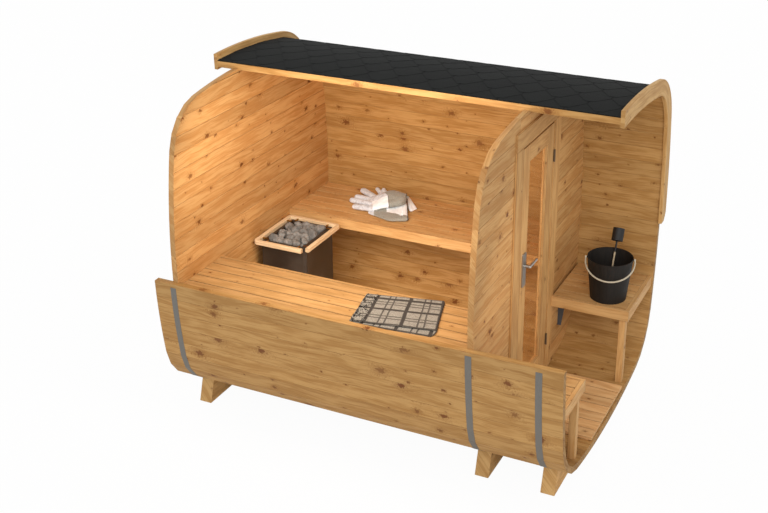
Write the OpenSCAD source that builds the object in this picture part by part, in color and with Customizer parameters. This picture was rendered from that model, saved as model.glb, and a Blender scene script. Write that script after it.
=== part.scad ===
// Cube sauna, shown as a cutaway: a rounded square shell of lengthwise staves on three
// cradles, with a hot room, a door and an open porch with two benches.
// X runs along the shell (the porch is at +X), -Y is the cut-away near side, +Z is up.
// The origin is on the ground, under the middle of the whole box.

/* [Shell] */
// Length of the shell, end to end
shell_len = 2680; // [2400:10:3200]
// Width of the shell over its bulged sides
shell_w = 2030; // [1900:10:2200]
// Height of the shell, without the cradles
shell_h = 2100; // [2000:10:2250]
// Radius of the shell's four corners
corner_r = 370; // [300:5:450]
// Radius of the gentle bulge of the sides, roof and bottom
bulge_r = 3950; // [3000:50:6000]
// Thickness of the staves
stave_t = 42; // [36:1:50]
// Depth of the groove that holds an end wall in the staves
groove_d = 10; // [6:1:14]

/* [Walls] */
// Thickness of the end wall and the partition
wall_t = 36; // [28:1:45]
// Distance from the shell's left end to the end wall
end_wall_x = 118; // [60:1:200]
// Depth of the open porch, from the partition to the shell's right end
porch_depth = 543; // [480:1:700]

/* [Roof] */
// Thickness of the shingle cover
cover_t = 7; // [4:1:12]
// Thickness of the arched trim boards
trim_t = 25; // [18:1:32]
// Height that the trim stands above the staves
trim_proud = 45; // [20:1:60]
// Depth that the trim reaches below the outer face of the staves
trim_deep = 60; // [44:1:80]
// Slope cut at the lower end of each trim board
trim_chamfer = 45; // [20:1:60]

/* [Cradles and bands] */
// Clear height from the ground to the shell's lowest point
foot_h = 100; // [70:5:160]
// Width of a cradle along the shell
cradle_w = 88; // [60:1:120]
// Half the length of a cradle where it meets the shell
cradle_top_y = 695; // [620:5:740]
// How far each end of a cradle leans out at the ground
cradle_flare = 57; // [20:1:90]
// Width of the steel bands
band_w = 40; // [25:1:60]
// Thickness of the steel bands
band_t = 1.5; // [1:0.1:3]
// Distance from the cut edge down to the bands' ends
band_drop = 25; // [10:1:60]
// Distance from the right band's middle to the shell's right end
band_right_gap = 142; // [80:1:220]

/* [Benches] */
// Height of the two room benches above the shell's lowest point
bench_z = 865; // [820:1:875]
// Height of the two porch benches above the shell's lowest point
porch_bench_z = 608; // [520:1:700]
// Width of a bench slat
slat_w = 86; // [60:1:100]
// Gap between two bench slats
slat_gap = 6; // [3:1:12]
// Thickness of a bench slat
slat_t = 28; // [20:1:34]
// Thickness of the bench front boards
fascia_t = 22; // [16:1:30]
// Height of the bench front boards
fascia_h = 75; // [60:1:100]
// Height of the bearers under the slats
bearer_h = 47; // [30:1:60]
// Width of the bearers and legs
leg_w = 45; // [35:1:60]
// Gap between a bench and the staves behind it
bench_gap = 4; // [2:1:8]

/* [Floor] */
// Width of a floor board
floor_w = 92; // [70:1:120]
// Gap between two floor boards
floor_gap = 5; // [3:1:10]
// Thickness of the floor boards
floor_t = 18; // [14:1:28]
// Thickness of the floor battens in the middle of the shell
batten_t = 18; // [16:1:30]

/* [Door] */
// Width of the door leaf
leaf_w = 544; // [500:2:600]
// Height of the wall left over the door frame, up to the shell's highest point
head_h = 200; // [150:5:300]
// Thickness of the door leaf
leaf_t = 40; // [34:1:45]
// Width of the stiles and the top rail
stile_w = 110; // [80:1:130]
// Height of the bottom rail
bottom_rail = 150; // [110:1:220]
// Thickness of the glass
glass_t = 8; // [4:1:10]
// Depth of the groove that holds the glass
glass_groove = 10; // [6:1:14]
// Gap round the door leaf
leaf_gap = 7; // [6.5:0.5:9]
// Height of the leaf's bottom edge above the shell's lowest point
leaf_z = 115; // [105:1:140]
// Thickness of the door frame behind the boards round the door
jamb_t = 43; // [30:1:55]
// Depth of the door frame's rebate that the leaf lies in
jamb_deep = 30; // [20:1:34]
// Depth of the door frame proud of the partition, inside the room
frame_proud = 10; // [0:1:20]
// Depth of the stop that the door closes against
stop_w = 15; // [10:1:20]
// Width of the boards round the door
arch_w = 110; // [80:1:125]
// Thickness of the boards round the door
arch_t = 14; // [10:1:20]
// Radius of the hinge barrels
hinge_r = 6; // [5:0.5:8]
// Opening angle that the view shows, 0 is closed
door_open = 0; // [0:1:90]

/* [Door handle] */
// Height of the lever above the shell's lowest point
lever_z = 1083; // [950:1:1200]
// Distance from the leaf's free edge to the lever's spindle
backset = 55; // [50:1:90]
// Width of the long plates
plate_w = 60; // [36:1:70]
// Height of the long plates
plate_h = 222; // [200:1:280]
// Thickness of the long plates
plate_t = 8; // [4:1:10]
// Length of the lever's grip
lever_len = 125; // [90:1:140]
// Distance from the plate to the middle of the grip
lever_off = 34; // [30:1:55]
// Thickness of the lever
lever_d = 17; // [12:1:22]

/* [Heater] */
// Width of the heater's casing along the room
heater_x = 322; // [280:2:360]
// Depth of the heater's casing across the room
heater_y = 404; // [340:2:420]
// Height of the heater's casing
heater_h = 660; // [600:5:680]
// Clear height below the casing
heater_leg = 98; // [80:1:140]
// Clear gap between the heater's guard rail and the rear bench
heater_bench_gap = 53; // [30:1:100]
// Depth of the tray for the stones
tray_deep = 90; // [60:5:120]
// Height of the heap of stones above the casing
heap_h = 22; // [10:1:40]
// Distance from the end wall to the guard rail
rail_wall_gap = 30; // [20:1:60]
// Gap between the casing and the guard rail
rail_gap = 18; // [17:1:30]
// Width of the guard rail's bars
rail_w = 28; // [20:1:34]
// Height of the guard rail's bars
rail_h = 34; // [24:1:40]
// Height of the guard rail's top above the casing
rail_top = 12; // [8:1:30]
// Radius of the guard rail's inner corners
rail_r = 45; // [30:1:60]
// Length of the opening in the guard rail's near right corner
rail_open = 41; // [38:1:60]

/* [Bucket and ladle] */
// Height of the bucket
bucket_h = 290; // [220:5:300]
// Outer radius of the bucket's rim
bucket_top_r = 150; // [120:1:155]
// Outer radius of the bucket's foot
bucket_foot_r = 118; // [90:1:118]
// Wall thickness of the bucket
bucket_wall = 4; // [2:0.5:6]
// Distance from the porch bench's end to the bucket's middle
bucket_end = 185; // [165:1:250]
// Distance from the porch bench's front edge to the bucket's middle
bucket_in = 154; // [112:1:300]
// Thickness of the bucket's bail
bail_d = 11; // [8:1:14]
// Outer radius of the ladle's cup
cup_r = 38; // [30:1:42]

/* [Towel and gloves] */
// Length of the folded towel along the bench
towel_x = 490; // [300:5:600]
// Width of the folded towel across the bench
towel_y = 390; // [300:5:390]
// Thickness of the folded towel
towel_t = 18; // [8:1:30]
// Distance from the bench's front edge to the towel's nearest corner
towel_in = 24; // [4:1:26]
// Distance from the partition to the towel's middle
towel_end = 545; // [400:5:1500]
// Thickness of one glove lying flat
glove_t = 30; // [15:1:35]
// Distance from the rear bench's front edge to the middle of the lower glove
glove_in = 225; // [180:5:300]
// Distance from the end wall to the middle of the lower glove
glove_end = 654; // [350:5:1400]

/* [Hidden] */

// Staves on each side, on the roof and bottom, and on each corner
n_side = 13;
n_top = 14;
n_corner = 4;

// The outline's arcs: each side is an arc of bulge_r, each corner one of corner_r, all tangent.
side_c = shell_w / 2 - bulge_r;
top_c = shell_h / 2 - bulge_r;
span = norm([side_c, top_c]);
rise = sqrt(pow(bulge_r - corner_r, 2) - pow(span / 2, 2));
corner_c = [side_c / 2 - rise * top_c / span, top_c / 2 - rise * side_c / span];
side_a = atan2(corner_c.y, corner_c.x - side_c);
top_a = atan2(corner_c.x, corner_c.y - top_c);
corner_a = 90 - side_a - top_a;

// Joints between staves are numbered round the outline, from the lower end of the rear side:
// up the rear side, over the roof to the near side, down it and back under the bottom.
j_roof = n_side + n_corner;
j_near = j_roof + n_top + n_corner;
j_bottom = j_near + n_side + n_corner;
j_all = j_bottom + n_top + n_corner;

// Joints where the shell's pieces end
cut_roof = j_roof + n_top / 2 + 2;
cut_near = j_near + (n_side + 1) / 2 + 1;
near_to_bottom = j_near + n_side + 2;
bottom_to_back = j_all - 2;
back_to_roof = j_all + n_side + 2;
cover_low = j_all + floor(n_side / 2);

mid_z = shell_h / 2;
cut_z = mid_z + joint(cut_near, 0).y;

// The partition and the end wall along X, with 0 at the shell's left end
part_x = shell_len - porch_depth - wall_t;
room_x = end_wall_x + wall_t;
room_len = part_x - room_x;
porch_x = part_x + wall_t;

band_x = [end_wall_x + wall_t / 2, part_x + wall_t / 2, shell_len - band_right_gap];

// Door
half_leaf = leaf_w / 2;
jamb_y = half_leaf + leaf_gap;
open_y = jamb_y + jamb_t;
open_top = shell_h - head_h;
open_low = leaf_z - leaf_gap - jamb_t;
leaf_top = open_top - jamb_t - leaf_gap;
leaf_h = leaf_top - leaf_z;
leaf_x = porch_x - jamb_deep;
leaf_face = leaf_x + leaf_t;
frame_x = part_x - frame_proud;
hinge_at = [leaf_face + hinge_r + 1, half_leaf + leaf_gap / 2];
hinge_len = 80;
hinge_low = 180;
hinge_zs = [leaf_z + hinge_low, leaf_top - hinge_low - hinge_len];
flap_t = 2;
flap_w = 30;
pin_r = hinge_r / 2;

// Handle
lever_y = -half_leaf + backset;
spindle_r = 5;
spindle_hole_r = 8;
plate_low = 138;
key_drop = 81;
key_r = 5;

// Benches: how far from the shell's middle each front edge is
slat_pitch = slat_w + slat_gap;
near_slats = 5;
rear_slats = 6;
porch_near_slats_n = 4;
porch_rear_slats_n = 6;

// The porch's benches run from the boards round the door nearly to the shell's end.
end_inset = 8;
bench_x = porch_x + arch_t;
porch_end = shell_len - end_inset;

// Floor
floor_boards = 7;
floor_end_gap = 3;
floor_pitch = floor_w + floor_gap;
batten_top = stave_t + batten_t;
floor_top = batten_top + floor_t;

// Heater
heater_at = [room_x + rail_wall_gap + rail_w + rail_gap + heater_x / 2,
    front_y(rear_slats, bench_z) - heater_bench_gap - rail_w - rail_gap - heater_y / 2];
heater_low = floor_top + heater_leg;
heater_top = heater_low + heater_h;

// Bucket on the rear porch bench
bucket_at = [porch_end - bucket_end, front_y(porch_rear_slats_n, porch_bench_z) + bucket_in, porch_bench_z];
bucket_turn = 14.5;
bucket_floor = 6;
bail_reach = 180;
bail_half = bucket_top_r + 8;
bail_c = (bail_reach * bail_reach - bail_half * bail_half) / (2 * bail_reach);
bail_r = bail_reach - bail_c;
bail_drop = 33;

// Places the shell's frame: 0 at its left end, in the middle of its width, at its lowest point.
module in_shell() {
    translate([-shell_len / 2, (band_t - trim_proud) / 2, foot_h]) children();
}

// ---- Outline of the shell ----

function on_arc(c, r, a) = [c.x + r * cos(a), c.y + r * sin(a)];

// Joint i of the outline, moved in by d from the outer face
function joint(i, d) =
    i > j_all ? joint(i - j_all, d)
    : i <= n_side ? on_arc([side_c, 0], bulge_r - d, side_a * (2 * i / n_side - 1))
    : i <= j_roof ? on_arc(corner_c, corner_r - d, side_a + corner_a * (i - n_side) / n_corner)
    : i <= j_roof + n_top ? on_arc([0, top_c], bulge_r - d, 90 + top_a * (2 * (i - j_roof) / n_top - 1))
    : i <= j_near ? on_arc([-corner_c.x, corner_c.y], corner_r - d,
        90 + top_a + corner_a * (i - j_roof - n_top) / n_corner)
    : i <= j_near + n_side ? on_arc([-side_c, 0], bulge_r - d, 180 + side_a * (2 * (i - j_near) / n_side - 1))
    : i <= j_bottom ? on_arc([-corner_c.x, -corner_c.y], corner_r - d,
        180 + side_a + corner_a * (i - j_near - n_side) / n_corner)
    : i <= j_bottom + n_top ? on_arc([0, -top_c], bulge_r - d, 270 + top_a * (2 * (i - j_bottom) / n_top - 1))
    : on_arc([corner_c.x, -corner_c.y], corner_r - d,
        270 + top_a + corner_a * (i - j_bottom - n_top) / n_corner);

// Stretch of the shell's wall from joint i to joint k, between two depths below the outer face
module wall_outline(i, k, outer, inner) {
    translate([0, mid_z]) polygon(concat(
        [for (j = [i : k]) joint(j, outer)],
        [for (j = [k : -1 : i]) joint(j, inner)]));
}

// The whole outline, moved in by d
module full_outline(d) {
    translate([0, mid_z]) polygon([for (j = [1 : j_all]) joint(j, d)]);
}

// Runs an outline in the Y-Z plane along X, from x0 to x1
module along_x(x0, x1) {
    translate([x0, 0, 0]) rotate([90, 0, 90]) linear_extrude(x1 - x0) children();
}

// ---- Shell ----

module staves(i, k) {
    color("burlywood") in_shell() difference() {
        along_x(0, shell_len) wall_outline(i, k, 0, stave_t);
        for (x = [end_wall_x, part_x])
            along_x(x, x + wall_t) wall_outline(i - 1, k + 1, stave_t - groove_d, stave_t + groove_d);
    }
}

module shell_near_side() staves(cut_near, near_to_bottom);
module shell_bottom() staves(near_to_bottom, bottom_to_back);
module shell_back() staves(bottom_to_back, back_to_roof);
module shell_roof() staves(back_to_roof - j_all, cut_roof);

module roof_cover() {
    color("dimgray") in_shell() along_x(0, shell_len)
        wall_outline(cover_low - j_all, cut_roof, -cover_t, 0);
}

// An arched board on the end of the shell, cut off at an angle at its lower end
module trim_board(x) {
    low = joint(cover_low - j_all, -trim_proud);
    color("burlywood") in_shell() along_x(x, x + trim_t) difference() {
        wall_outline(cover_low - j_all, cut_roof, -trim_proud, trim_deep);
        translate([low.x, mid_z + low.y]) rotate(45)
            square(trim_chamfer * sqrt(2), center = true);
    }
}

module trim_left() trim_board(-trim_t);
module trim_right() trim_board(shell_len);

// ---- Walls ----

module wall_panel(x) {
    along_x(x, x + wall_t) full_outline(stave_t - groove_d);
}

module end_wall() color("peru") in_shell() wall_panel(end_wall_x);

// The part of the partition in a window of its face, from y0 to y1 and z0 to z1
module partition_part(y0, y1, z0, z1) {
    color("peru") in_shell() along_x(part_x, porch_x) intersection() {
        full_outline(stave_t - groove_d);
        translate([y0, z0]) square([y1 - y0, z1 - z0]);
    }
}

module partition_near() partition_part(-shell_w, -open_y, 0, shell_h);
module partition_rear() partition_part(open_y, shell_w, 0, shell_h);
module partition_head() partition_part(-open_y, open_y, open_top, shell_h);
module partition_sill() partition_part(-open_y, open_y, 0, open_low);

// ---- Door ----

module frame_ring(x0, x1, inner) {
    along_x(x0, x1) difference() {
        translate([-open_y, open_low]) square([2 * open_y, open_top - open_low]);
        translate([-half_leaf - inner, leaf_z - inner])
            square([leaf_w + 2 * inner, leaf_h + 2 * inner]);
    }
}

module door_frame() {
    color("burlywood") in_shell() {
        frame_ring(leaf_x - leaf_gap, porch_x, leaf_gap);
        frame_ring(frame_x, leaf_x - leaf_gap, leaf_gap - stop_w);
    }
}

module door_boards() {
    inner = jamb_y + leaf_gap;
    outer = inner + arch_w;
    low = leaf_z;
    head = leaf_top + 2 * leaf_gap;
    color("burlywood") in_shell() along_x(porch_x, porch_x + arch_t) difference() {
        translate([-outer, low]) square([2 * outer, head + arch_w - low]);
        translate([-inner, low - 1]) square([2 * inner, head - low + 1]);
    }
}

// One half of each hinge: a knuckle and its flap in the gap beside the leaf
module hinge_half(z0, len, flap_y) {
    translate([hinge_at.x, hinge_at.y, z0]) cylinder(h = len, r = hinge_r, $fn = 32);
    translate([hinge_at.x - flap_w, flap_y, z0]) cube([flap_w, flap_t, len]);
}

module hinge_pins() {
    color("silver") in_shell() for (z = hinge_zs) {
        hinge_half(z, hinge_len / 2 - 1, jamb_y - flap_t);
        translate([hinge_at.x, hinge_at.y, z]) cylinder(h = hinge_len - 6, r = pin_r, $fn = 32);
    }
}

module swing() {
    in_shell() translate([hinge_at.x, hinge_at.y, 0]) rotate(door_open)
        translate([-hinge_at.x, -hinge_at.y, 0]) children();
}

module hinge_leaves() {
    color("silver") swing() for (z = hinge_zs) difference() {
        hinge_half(z + hinge_len / 2 + 1, hinge_len / 2 - 1, half_leaf);
        translate([hinge_at.x, hinge_at.y, z]) cylinder(h = hinge_len - 5, r = pin_r + 0.4, $fn = 32);
    }
}

module leaf_window(grow) {
    translate([-half_leaf + stile_w - grow, leaf_z + bottom_rail - grow])
        square([leaf_w - 2 * stile_w + 2 * grow, leaf_h - stile_w - bottom_rail + 2 * grow]);
}

glass_x = leaf_x + (leaf_t - glass_t) / 2;

module door_leaf() {
    color("burlywood") swing() difference() {
        along_x(leaf_x, leaf_face) difference() {
            translate([-half_leaf, leaf_z]) square([leaf_w, leaf_h]);
            leaf_window(0);
        }
        along_x(glass_x, glass_x + glass_t) leaf_window(glass_groove);
        translate([leaf_x - 1, lever_y, lever_z]) rotate([0, 90, 0])
            cylinder(h = leaf_t + 2, r = spindle_hole_r, $fn = 32);
    }
}

module door_glass() {
    color("lightblue") swing() along_x(glass_x, glass_x + glass_t) leaf_window(glass_groove);
}

module plate(x) {
    round_r = plate_w / 6;
    difference() {
        along_x(x, x + plate_t) translate([lever_y, lever_z + plate_h / 2 - plate_low]) union() {
            square([plate_w, plate_h - 2 * round_r], center = true);
            square([plate_w - 2 * round_r, plate_h], center = true);
            for (sy = [-1, 1], sz = [-1, 1])
                translate([sy * (plate_w / 2 - round_r), sz * (plate_h / 2 - round_r)])
                    circle(r = round_r, $fn = 24);
        }
        translate([x - 1, lever_y, lever_z]) rotate([0, 90, 0])
            cylinder(h = plate_t + 2, r = spindle_hole_r, $fn = 32);
        translate([x - 1, lever_y, lever_z - key_drop]) rotate([0, 90, 0])
            cylinder(h = plate_t + 2, r = key_r, $fn = 24);
    }
}

module door_plates() {
    color("silver") swing() {
        plate(leaf_face);
        plate(leaf_x - plate_t);
    }
}

// One lever: a neck out of the plate and a grip across it
module lever_side(x, dir) {
    translate([x, lever_y, lever_z]) rotate([0, dir * 90, 0])
        cylinder(h = lever_off, r = lever_d / 2, $fn = 32);
    translate([x + dir * lever_off, lever_y, lever_z]) {
        sphere(r = lever_d / 2, $fn = 32);
        rotate([-90, 0, 0]) cylinder(h = lever_len - lever_d / 2, r = lever_d / 2, $fn = 32);
        translate([0, lever_len - lever_d / 2, 0]) sphere(r = lever_d / 2, $fn = 32);
    }
}

module door_lever() {
    clear = 1;
    color("silver") swing() {
        lever_side(leaf_face + plate_t + clear, 1);
        lever_side(leaf_x - plate_t - clear, -1);
        translate([leaf_x - plate_t - clear - 1, lever_y, lever_z]) rotate([0, 90, 0])
            cylinder(h = leaf_t + 2 * (plate_t + clear + 1), r = spindle_r, $fn = 32);
    }
}

// ---- Floors ----

// Boards along X on battens that follow the bottom staves
module floor_panel(x0, x1) {
    half = (floor_boards * floor_pitch - floor_gap) / 2;
    color("tan") in_shell() {
        for (k = [0 : floor_boards - 1])
            translate([x0, -half + k * floor_pitch, batten_top]) cube([x1 - x0, floor_w, floor_t]);
        intersection() {
            for (x = [x0 + leg_w, (x0 + x1) / 2, x1 - leg_w])
                translate([x - leg_w / 2, -half, 0]) cube([leg_w, 2 * half, batten_top]);
            along_x(x0, x1) full_outline(stave_t);
        }
    }
}

module room_floor() floor_panel(room_x + floor_end_gap, frame_x - floor_end_gap);
module porch_floor() floor_panel(bench_x + floor_end_gap, porch_end);

// ---- Benches ----

// Inner face of the staves at height z, from the shell's middle
function inside_y(z) = side_c + sqrt(pow(bulge_r - stave_t, 2) - pow(z - mid_z, 2)) - bench_gap;

// Front edge of a bench of n slats whose top is at height z
function front_y(n, z) = inside_y(z - slat_t) - n * slat_pitch - fascia_t;

// A box from x0 to x1, at distances y0 to y1 on one side of the shell's middle, from z0 to z1
module side_box(x0, x1, y0, y1, z0, z1, side) {
    translate([x0, side > 0 ? y0 : -y1, z0]) cube([x1 - x0, y1 - y0, z1 - z0]);
}

module bench_slats(x0, x1, n, z, side) {
    front = front_y(n, z) + fascia_t + slat_gap;
    color("wheat") in_shell() for (k = [0 : n - 1])
        side_box(x0, x1, front + k * slat_pitch, front + k * slat_pitch + slat_w, z - slat_t, z, side);
}

// Front board and bearers, with the bearers' middles at the given places along X
module bench_frame(x0, x1, n, z, side, bearers) {
    front = front_y(n, z);
    side_box(x0, x1, front, front + fascia_t, z - fascia_h, z, side);
    for (x = bearers) intersection() {
        side_box(x - leg_w / 2, x + leg_w / 2, front + fascia_t, shell_w / 2,
            z - slat_t - bearer_h, z - slat_t, side);
        along_x(x0, x1) full_outline(stave_t);
    }
}

// A leg behind the front board, standing on the staves or on the floor boards
module bench_leg(x, n, z, side, foot) {
    front = front_y(n, z) + fascia_t;
    intersection() {
        side_box(x - leg_w / 2, x + leg_w / 2, front, front + leg_w, foot, z - slat_t, side);
        along_x(0, shell_len) full_outline(stave_t);
    }
}

room_x0 = room_x;
room_x1 = part_x;
room_bearers = [room_x0 + leg_w / 2, (room_x0 + room_x1) / 2, room_x1 - leg_w / 2];

module near_bench_frame() color("burlywood") in_shell()
    bench_frame(room_x0, room_x1, near_slats, bench_z, -1, room_bearers);
module near_bench_slats() bench_slats(room_x0, room_x1, near_slats, bench_z, -1);
module rear_bench_frame() color("burlywood") in_shell()
    bench_frame(room_x0, room_x1, rear_slats, bench_z, 1, room_bearers);
module rear_bench_slats() bench_slats(room_x0, room_x1, rear_slats, bench_z, 1);

// A porch bench has a board across its open end and a leg under its outer front corner.
end_board_t = 28;
leg_inset = 22;
porch_leg_x = porch_end - leg_inset - leg_w / 2;

module porch_bench_frame(n, side) {
    color("burlywood") in_shell() {
        bench_frame(bench_x, porch_end, n, porch_bench_z, side,
            [bench_x + leg_w / 2, porch_leg_x]);
        intersection() {
            side_box(porch_end - end_board_t, porch_end, front_y(n, porch_bench_z) + fascia_t, shell_w / 2,
                porch_bench_z - fascia_h, porch_bench_z, side);
            along_x(bench_x, porch_end) full_outline(stave_t);
        }
        bench_leg(porch_leg_x, n, porch_bench_z, side, 0);
    }
}

module porch_near_frame() porch_bench_frame(porch_near_slats_n, -1);
module porch_near_slats()
    bench_slats(bench_x, porch_end - end_board_t, porch_near_slats_n, porch_bench_z, -1);
module porch_rear_frame() porch_bench_frame(porch_rear_slats_n, 1);
module porch_rear_slats()
    bench_slats(bench_x, porch_end - end_board_t, porch_rear_slats_n, porch_bench_z, 1);

bracket_w = 30;
bracket_h = 235;
bracket_t = 3;
bracket_in = 195;
bracket_foot = 25;

// A shelf bracket between the partition and each inner porch bearer: a leg on the wall, an
// arm under the bearer and an upright web between them, narrower at its foot
module bench_bracket() {
    top = porch_bench_z - slat_t - bearer_h;
    tip = bench_x + leg_w;
    color("gray") in_shell() for (at = [[porch_rear_slats_n, 1], [porch_near_slats_n, -1]]) {
        y = front_y(at[0], porch_bench_z) + bracket_in;
        side_box(porch_x, porch_x + bracket_t, y, y + bracket_w, top - bracket_h, top, at[1]);
        side_box(porch_x, tip, y, y + bracket_w, top - bracket_t, top, at[1]);
        translate([0, at[1] > 0 ? y + bracket_t : -y, 0]) rotate([90, 0, 0]) linear_extrude(bracket_t)
            polygon([[porch_x, top - bracket_h], [porch_x + bracket_foot, top - bracket_h], [tip, top],
                [porch_x, top]]);
    }
}

// ---- Bands and cradles ----

module band(x) {
    color("silver") in_shell() difference() {
        along_x(x - band_w / 2, x + band_w / 2) wall_outline(cut_near, cover_low, -band_t, 0);
        translate([x - band_w, -shell_w, cut_z - band_drop]) cube([2 * band_w, shell_w, shell_h]);
    }
}

module steel_bands() {
    for (x = band_x) band(x);
}

module cradle(x) {
    foot_y = cradle_top_y + cradle_flare;
    top_z = mid_z + joint(j_bottom - 1, 0).y;
    color("burlywood") in_shell() along_x(x - cradle_w / 2, x + cradle_w / 2) difference() {
        polygon([[-foot_y, -foot_h], [foot_y, -foot_h], [cradle_top_y, top_z], [-cradle_top_y, top_z]]);
        full_outline(-band_t);
    }
}

module cradle_left() cradle(band_x[0]);
module cradle_middle() cradle(band_x[1]);
module cradle_right() cradle(band_x[2]);

// ---- Heater ----

module heater_box(grow, z0, z1) {
    translate([heater_at.x - heater_x / 2 - grow, heater_at.y - heater_y / 2 - grow, z0])
        cube([heater_x + 2 * grow, heater_y + 2 * grow, z1 - z0]);
}

// Places a thing at each of the heater's four corners, moved in from it
module at_corners(inset, z) {
    for (sx = [-1, 1], sy = [-1, 1])
        translate([heater_at.x + sx * (heater_x / 2 - inset), heater_at.y + sy * (heater_y / 2 - inset), z])
            children();
}

case_rim = 22;
foot_w = 22;
post_r = 16;
stone_floor = heater_top - tray_deep;
stone_gap = 2;
rail_z = heater_top + rail_top;

// Casing with a tray for the stones, four feet, and a post on its near right corner
module heater_case() {
    color("darkslategray") in_shell() {
        difference() {
            heater_box(0, heater_low, heater_top);
            heater_box(-case_rim, stone_floor, heater_top + 1);
        }
        at_corners(foot_w / 2, floor_top) translate([-foot_w / 2, -foot_w / 2, 0])
            cube([foot_w, foot_w, heater_low - floor_top]);
        translate([heater_at.x + heater_x / 2, heater_at.y - heater_y / 2 + post_r, heater_low])
            cylinder(h = rail_z - heater_low, r = post_r, $fn = 4);
    }
}

// A heap of stones that fills the tray and rises a little over it
module heater_stones() {
    ball = 34;
    edge = case_rim + stone_gap + ball;
    color("gray") in_shell() hull() {
        at_corners(edge, stone_floor) cylinder(h = heater_top - stone_floor, r = ball, $fn = 12);
        at_corners(edge + ball / 2, heater_top + heap_h - ball) sphere(r = ball, $fn = 12);
    }
}

// Outline of the guard rail's inner side, moved out by grow
module rail_outline(grow) {
    half = [heater_x / 2 + rail_gap + grow, heater_y / 2 + rail_gap + grow];
    r = rail_r + grow;
    translate([heater_at.x, heater_at.y]) union() {
        square([2 * half.x, 2 * (half.y - r)], center = true);
        square([2 * (half.x - r), 2 * half.y], center = true);
        for (sx = [-1, 1], sy = [-1, 1])
            translate([sx * (half.x - r), sy * (half.y - r)]) circle(r = r, $fn = 48);
    }
}

// The wooden guard rail is open at the near right corner, where the casing's post stands.
module heater_rail() {
    corner = [heater_at.x + heater_x / 2 + rail_gap, heater_at.y - heater_y / 2 - rail_gap];
    color("burlywood") in_shell() translate([0, 0, rail_z - rail_h]) linear_extrude(rail_h) difference() {
        rail_outline(rail_w);
        rail_outline(0);
        translate([corner.x - rail_r - 1, corner.y]) square(rail_r + 1);
        translate([corner.x + rail_w - rail_open, corner.y - rail_w - 1]) square(rail_open + 1);
    }
}

tab_w = 12;
tab_t = 5;
tab_in = 40;

// Brass tabs that lie on the casing's rim and hold the guard rail, two at each corner
module rail_tabs() {
    reach = case_rim + rail_gap;
    half = [heater_x / 2, heater_y / 2];
    mid = rail_gap - reach / 2;
    color("goldenrod") in_shell() translate([heater_at.x, heater_at.y, heater_top + tab_t / 2])
        for (sx = [-1, 1], sy = [-1, 1]) {
            translate([sx * (half.x - tab_in), sy * (half.y + mid), 0])
                cube([tab_w, reach, tab_t], center = true);
            translate([sx * (half.x + mid), sy * (half.y - tab_in), 0])
                cube([reach, tab_w, tab_t], center = true);
        }
}

// ---- Bucket, ladle, towel and gloves ----

module at_bucket() {
    in_shell() translate(bucket_at) rotate(bucket_turn) children();
}

function bucket_r(z) = bucket_foot_r + (bucket_top_r - bucket_foot_r) * z / bucket_h;

lug_r = 7;
lug_h = 5;
lug_z = bucket_h - 2 * lug_r;
lug_x = bucket_r(lug_z);
bail_pin_r = 3;

module bucket() {
    color("dimgray") at_bucket() {
        rotate_extrude($fn = 96) polygon([[0, 0], [bucket_foot_r, 0], [bucket_top_r, bucket_h],
            [bucket_top_r - bucket_wall, bucket_h], [bucket_r(bucket_floor) - bucket_wall, bucket_floor],
            [0, bucket_floor]]);
        for (s = [-1, 1]) {
            translate([s * (lug_x - 1), 0, lug_z]) rotate([0, s * 90, 0]) {
                cylinder(h = lug_h, r = lug_r, $fn = 32);
                cylinder(h = bail_half - lug_x + lug_h, r = bail_pin_r, $fn = 32);
            }
        }
    }
}

// The bail hangs down in front of the bucket, from an eye on each lug's pin.
module bucket_bail() {
    bail_a = atan2(bail_c, bail_half);
    color("wheat") at_bucket() translate([0, 0, lug_z]) rotate([bail_drop, 0, 0]) difference() {
        union() {
            translate([0, -bail_c, 0]) rotate(180 - bail_a)
                rotate_extrude(angle = 180 + 2 * bail_a, $fn = 96)
                    translate([bail_r, 0]) circle(r = bail_d / 2, $fn = 24);
            for (s = [-1, 1]) translate([s * (bail_half - bail_d / 2 + 0.5), 0, 0]) rotate([0, s * 90, 0])
                cylinder(h = bail_d, r = lug_r + 2, $fn = 32);
        }
        for (s = [-1, 1]) translate([s * lug_x, 0, 0]) rotate([0, s * 90, 0])
            cylinder(h = 2 * bail_d, r = bail_pin_r + 0.6, $fn = 32);
    }
}

stick_r = 6;
ladle_foot = 25;
stick_len = 372;
cup_h = 86;
cup_wall = 2.5;
ladle_lean = atan2(bucket_top_r - bucket_wall + ladle_foot - 1.25 * stick_r,
    bucket_h - bucket_floor - stick_r);

// The ladle stands on its stick in the bucket and leans on the far rim, cup up.
ladle_turn = -12;

module ladle() {
    color("tan") at_bucket() rotate(ladle_turn)
        translate([0, -ladle_foot, bucket_floor + stick_r]) rotate([-ladle_lean, 0, 0]) {
        sphere(r = stick_r, $fn = 32);
        cylinder(h = stick_len, r = stick_r, $fn = 32);
        translate([0, 0, stick_len]) rotate_extrude($fn = 64) polygon([[0, 0], [cup_r - 3, 0], [cup_r, 3],
            [cup_r, cup_h], [cup_r - cup_wall, cup_h], [cup_r - cup_wall, 4], [0, 4]]);
    }
}

// The folded towel lies a little askew on the near bench, behind its front edge.
towel_turn = 8.5;

module towel() {
    half = [towel_x / 2, towel_y / 2];
    across = half.x * sin(towel_turn) + half.y * cos(towel_turn);
    y = -front_y(near_slats, bench_z) - towel_in - across;
    color("beige") in_shell() translate([part_x - towel_end, y, bench_z]) rotate(towel_turn)
        translate([-half.x, -half.y, 0]) cube([towel_x, towel_y, towel_t]);
}

// A finger from the origin towards -X, with a round tip
module finger(len) {
    w = 34;
    translate([-len, -w / 2]) square([len, w]);
    translate([-len, 0]) circle(r = w / 2, $fn = 24);
}

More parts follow.
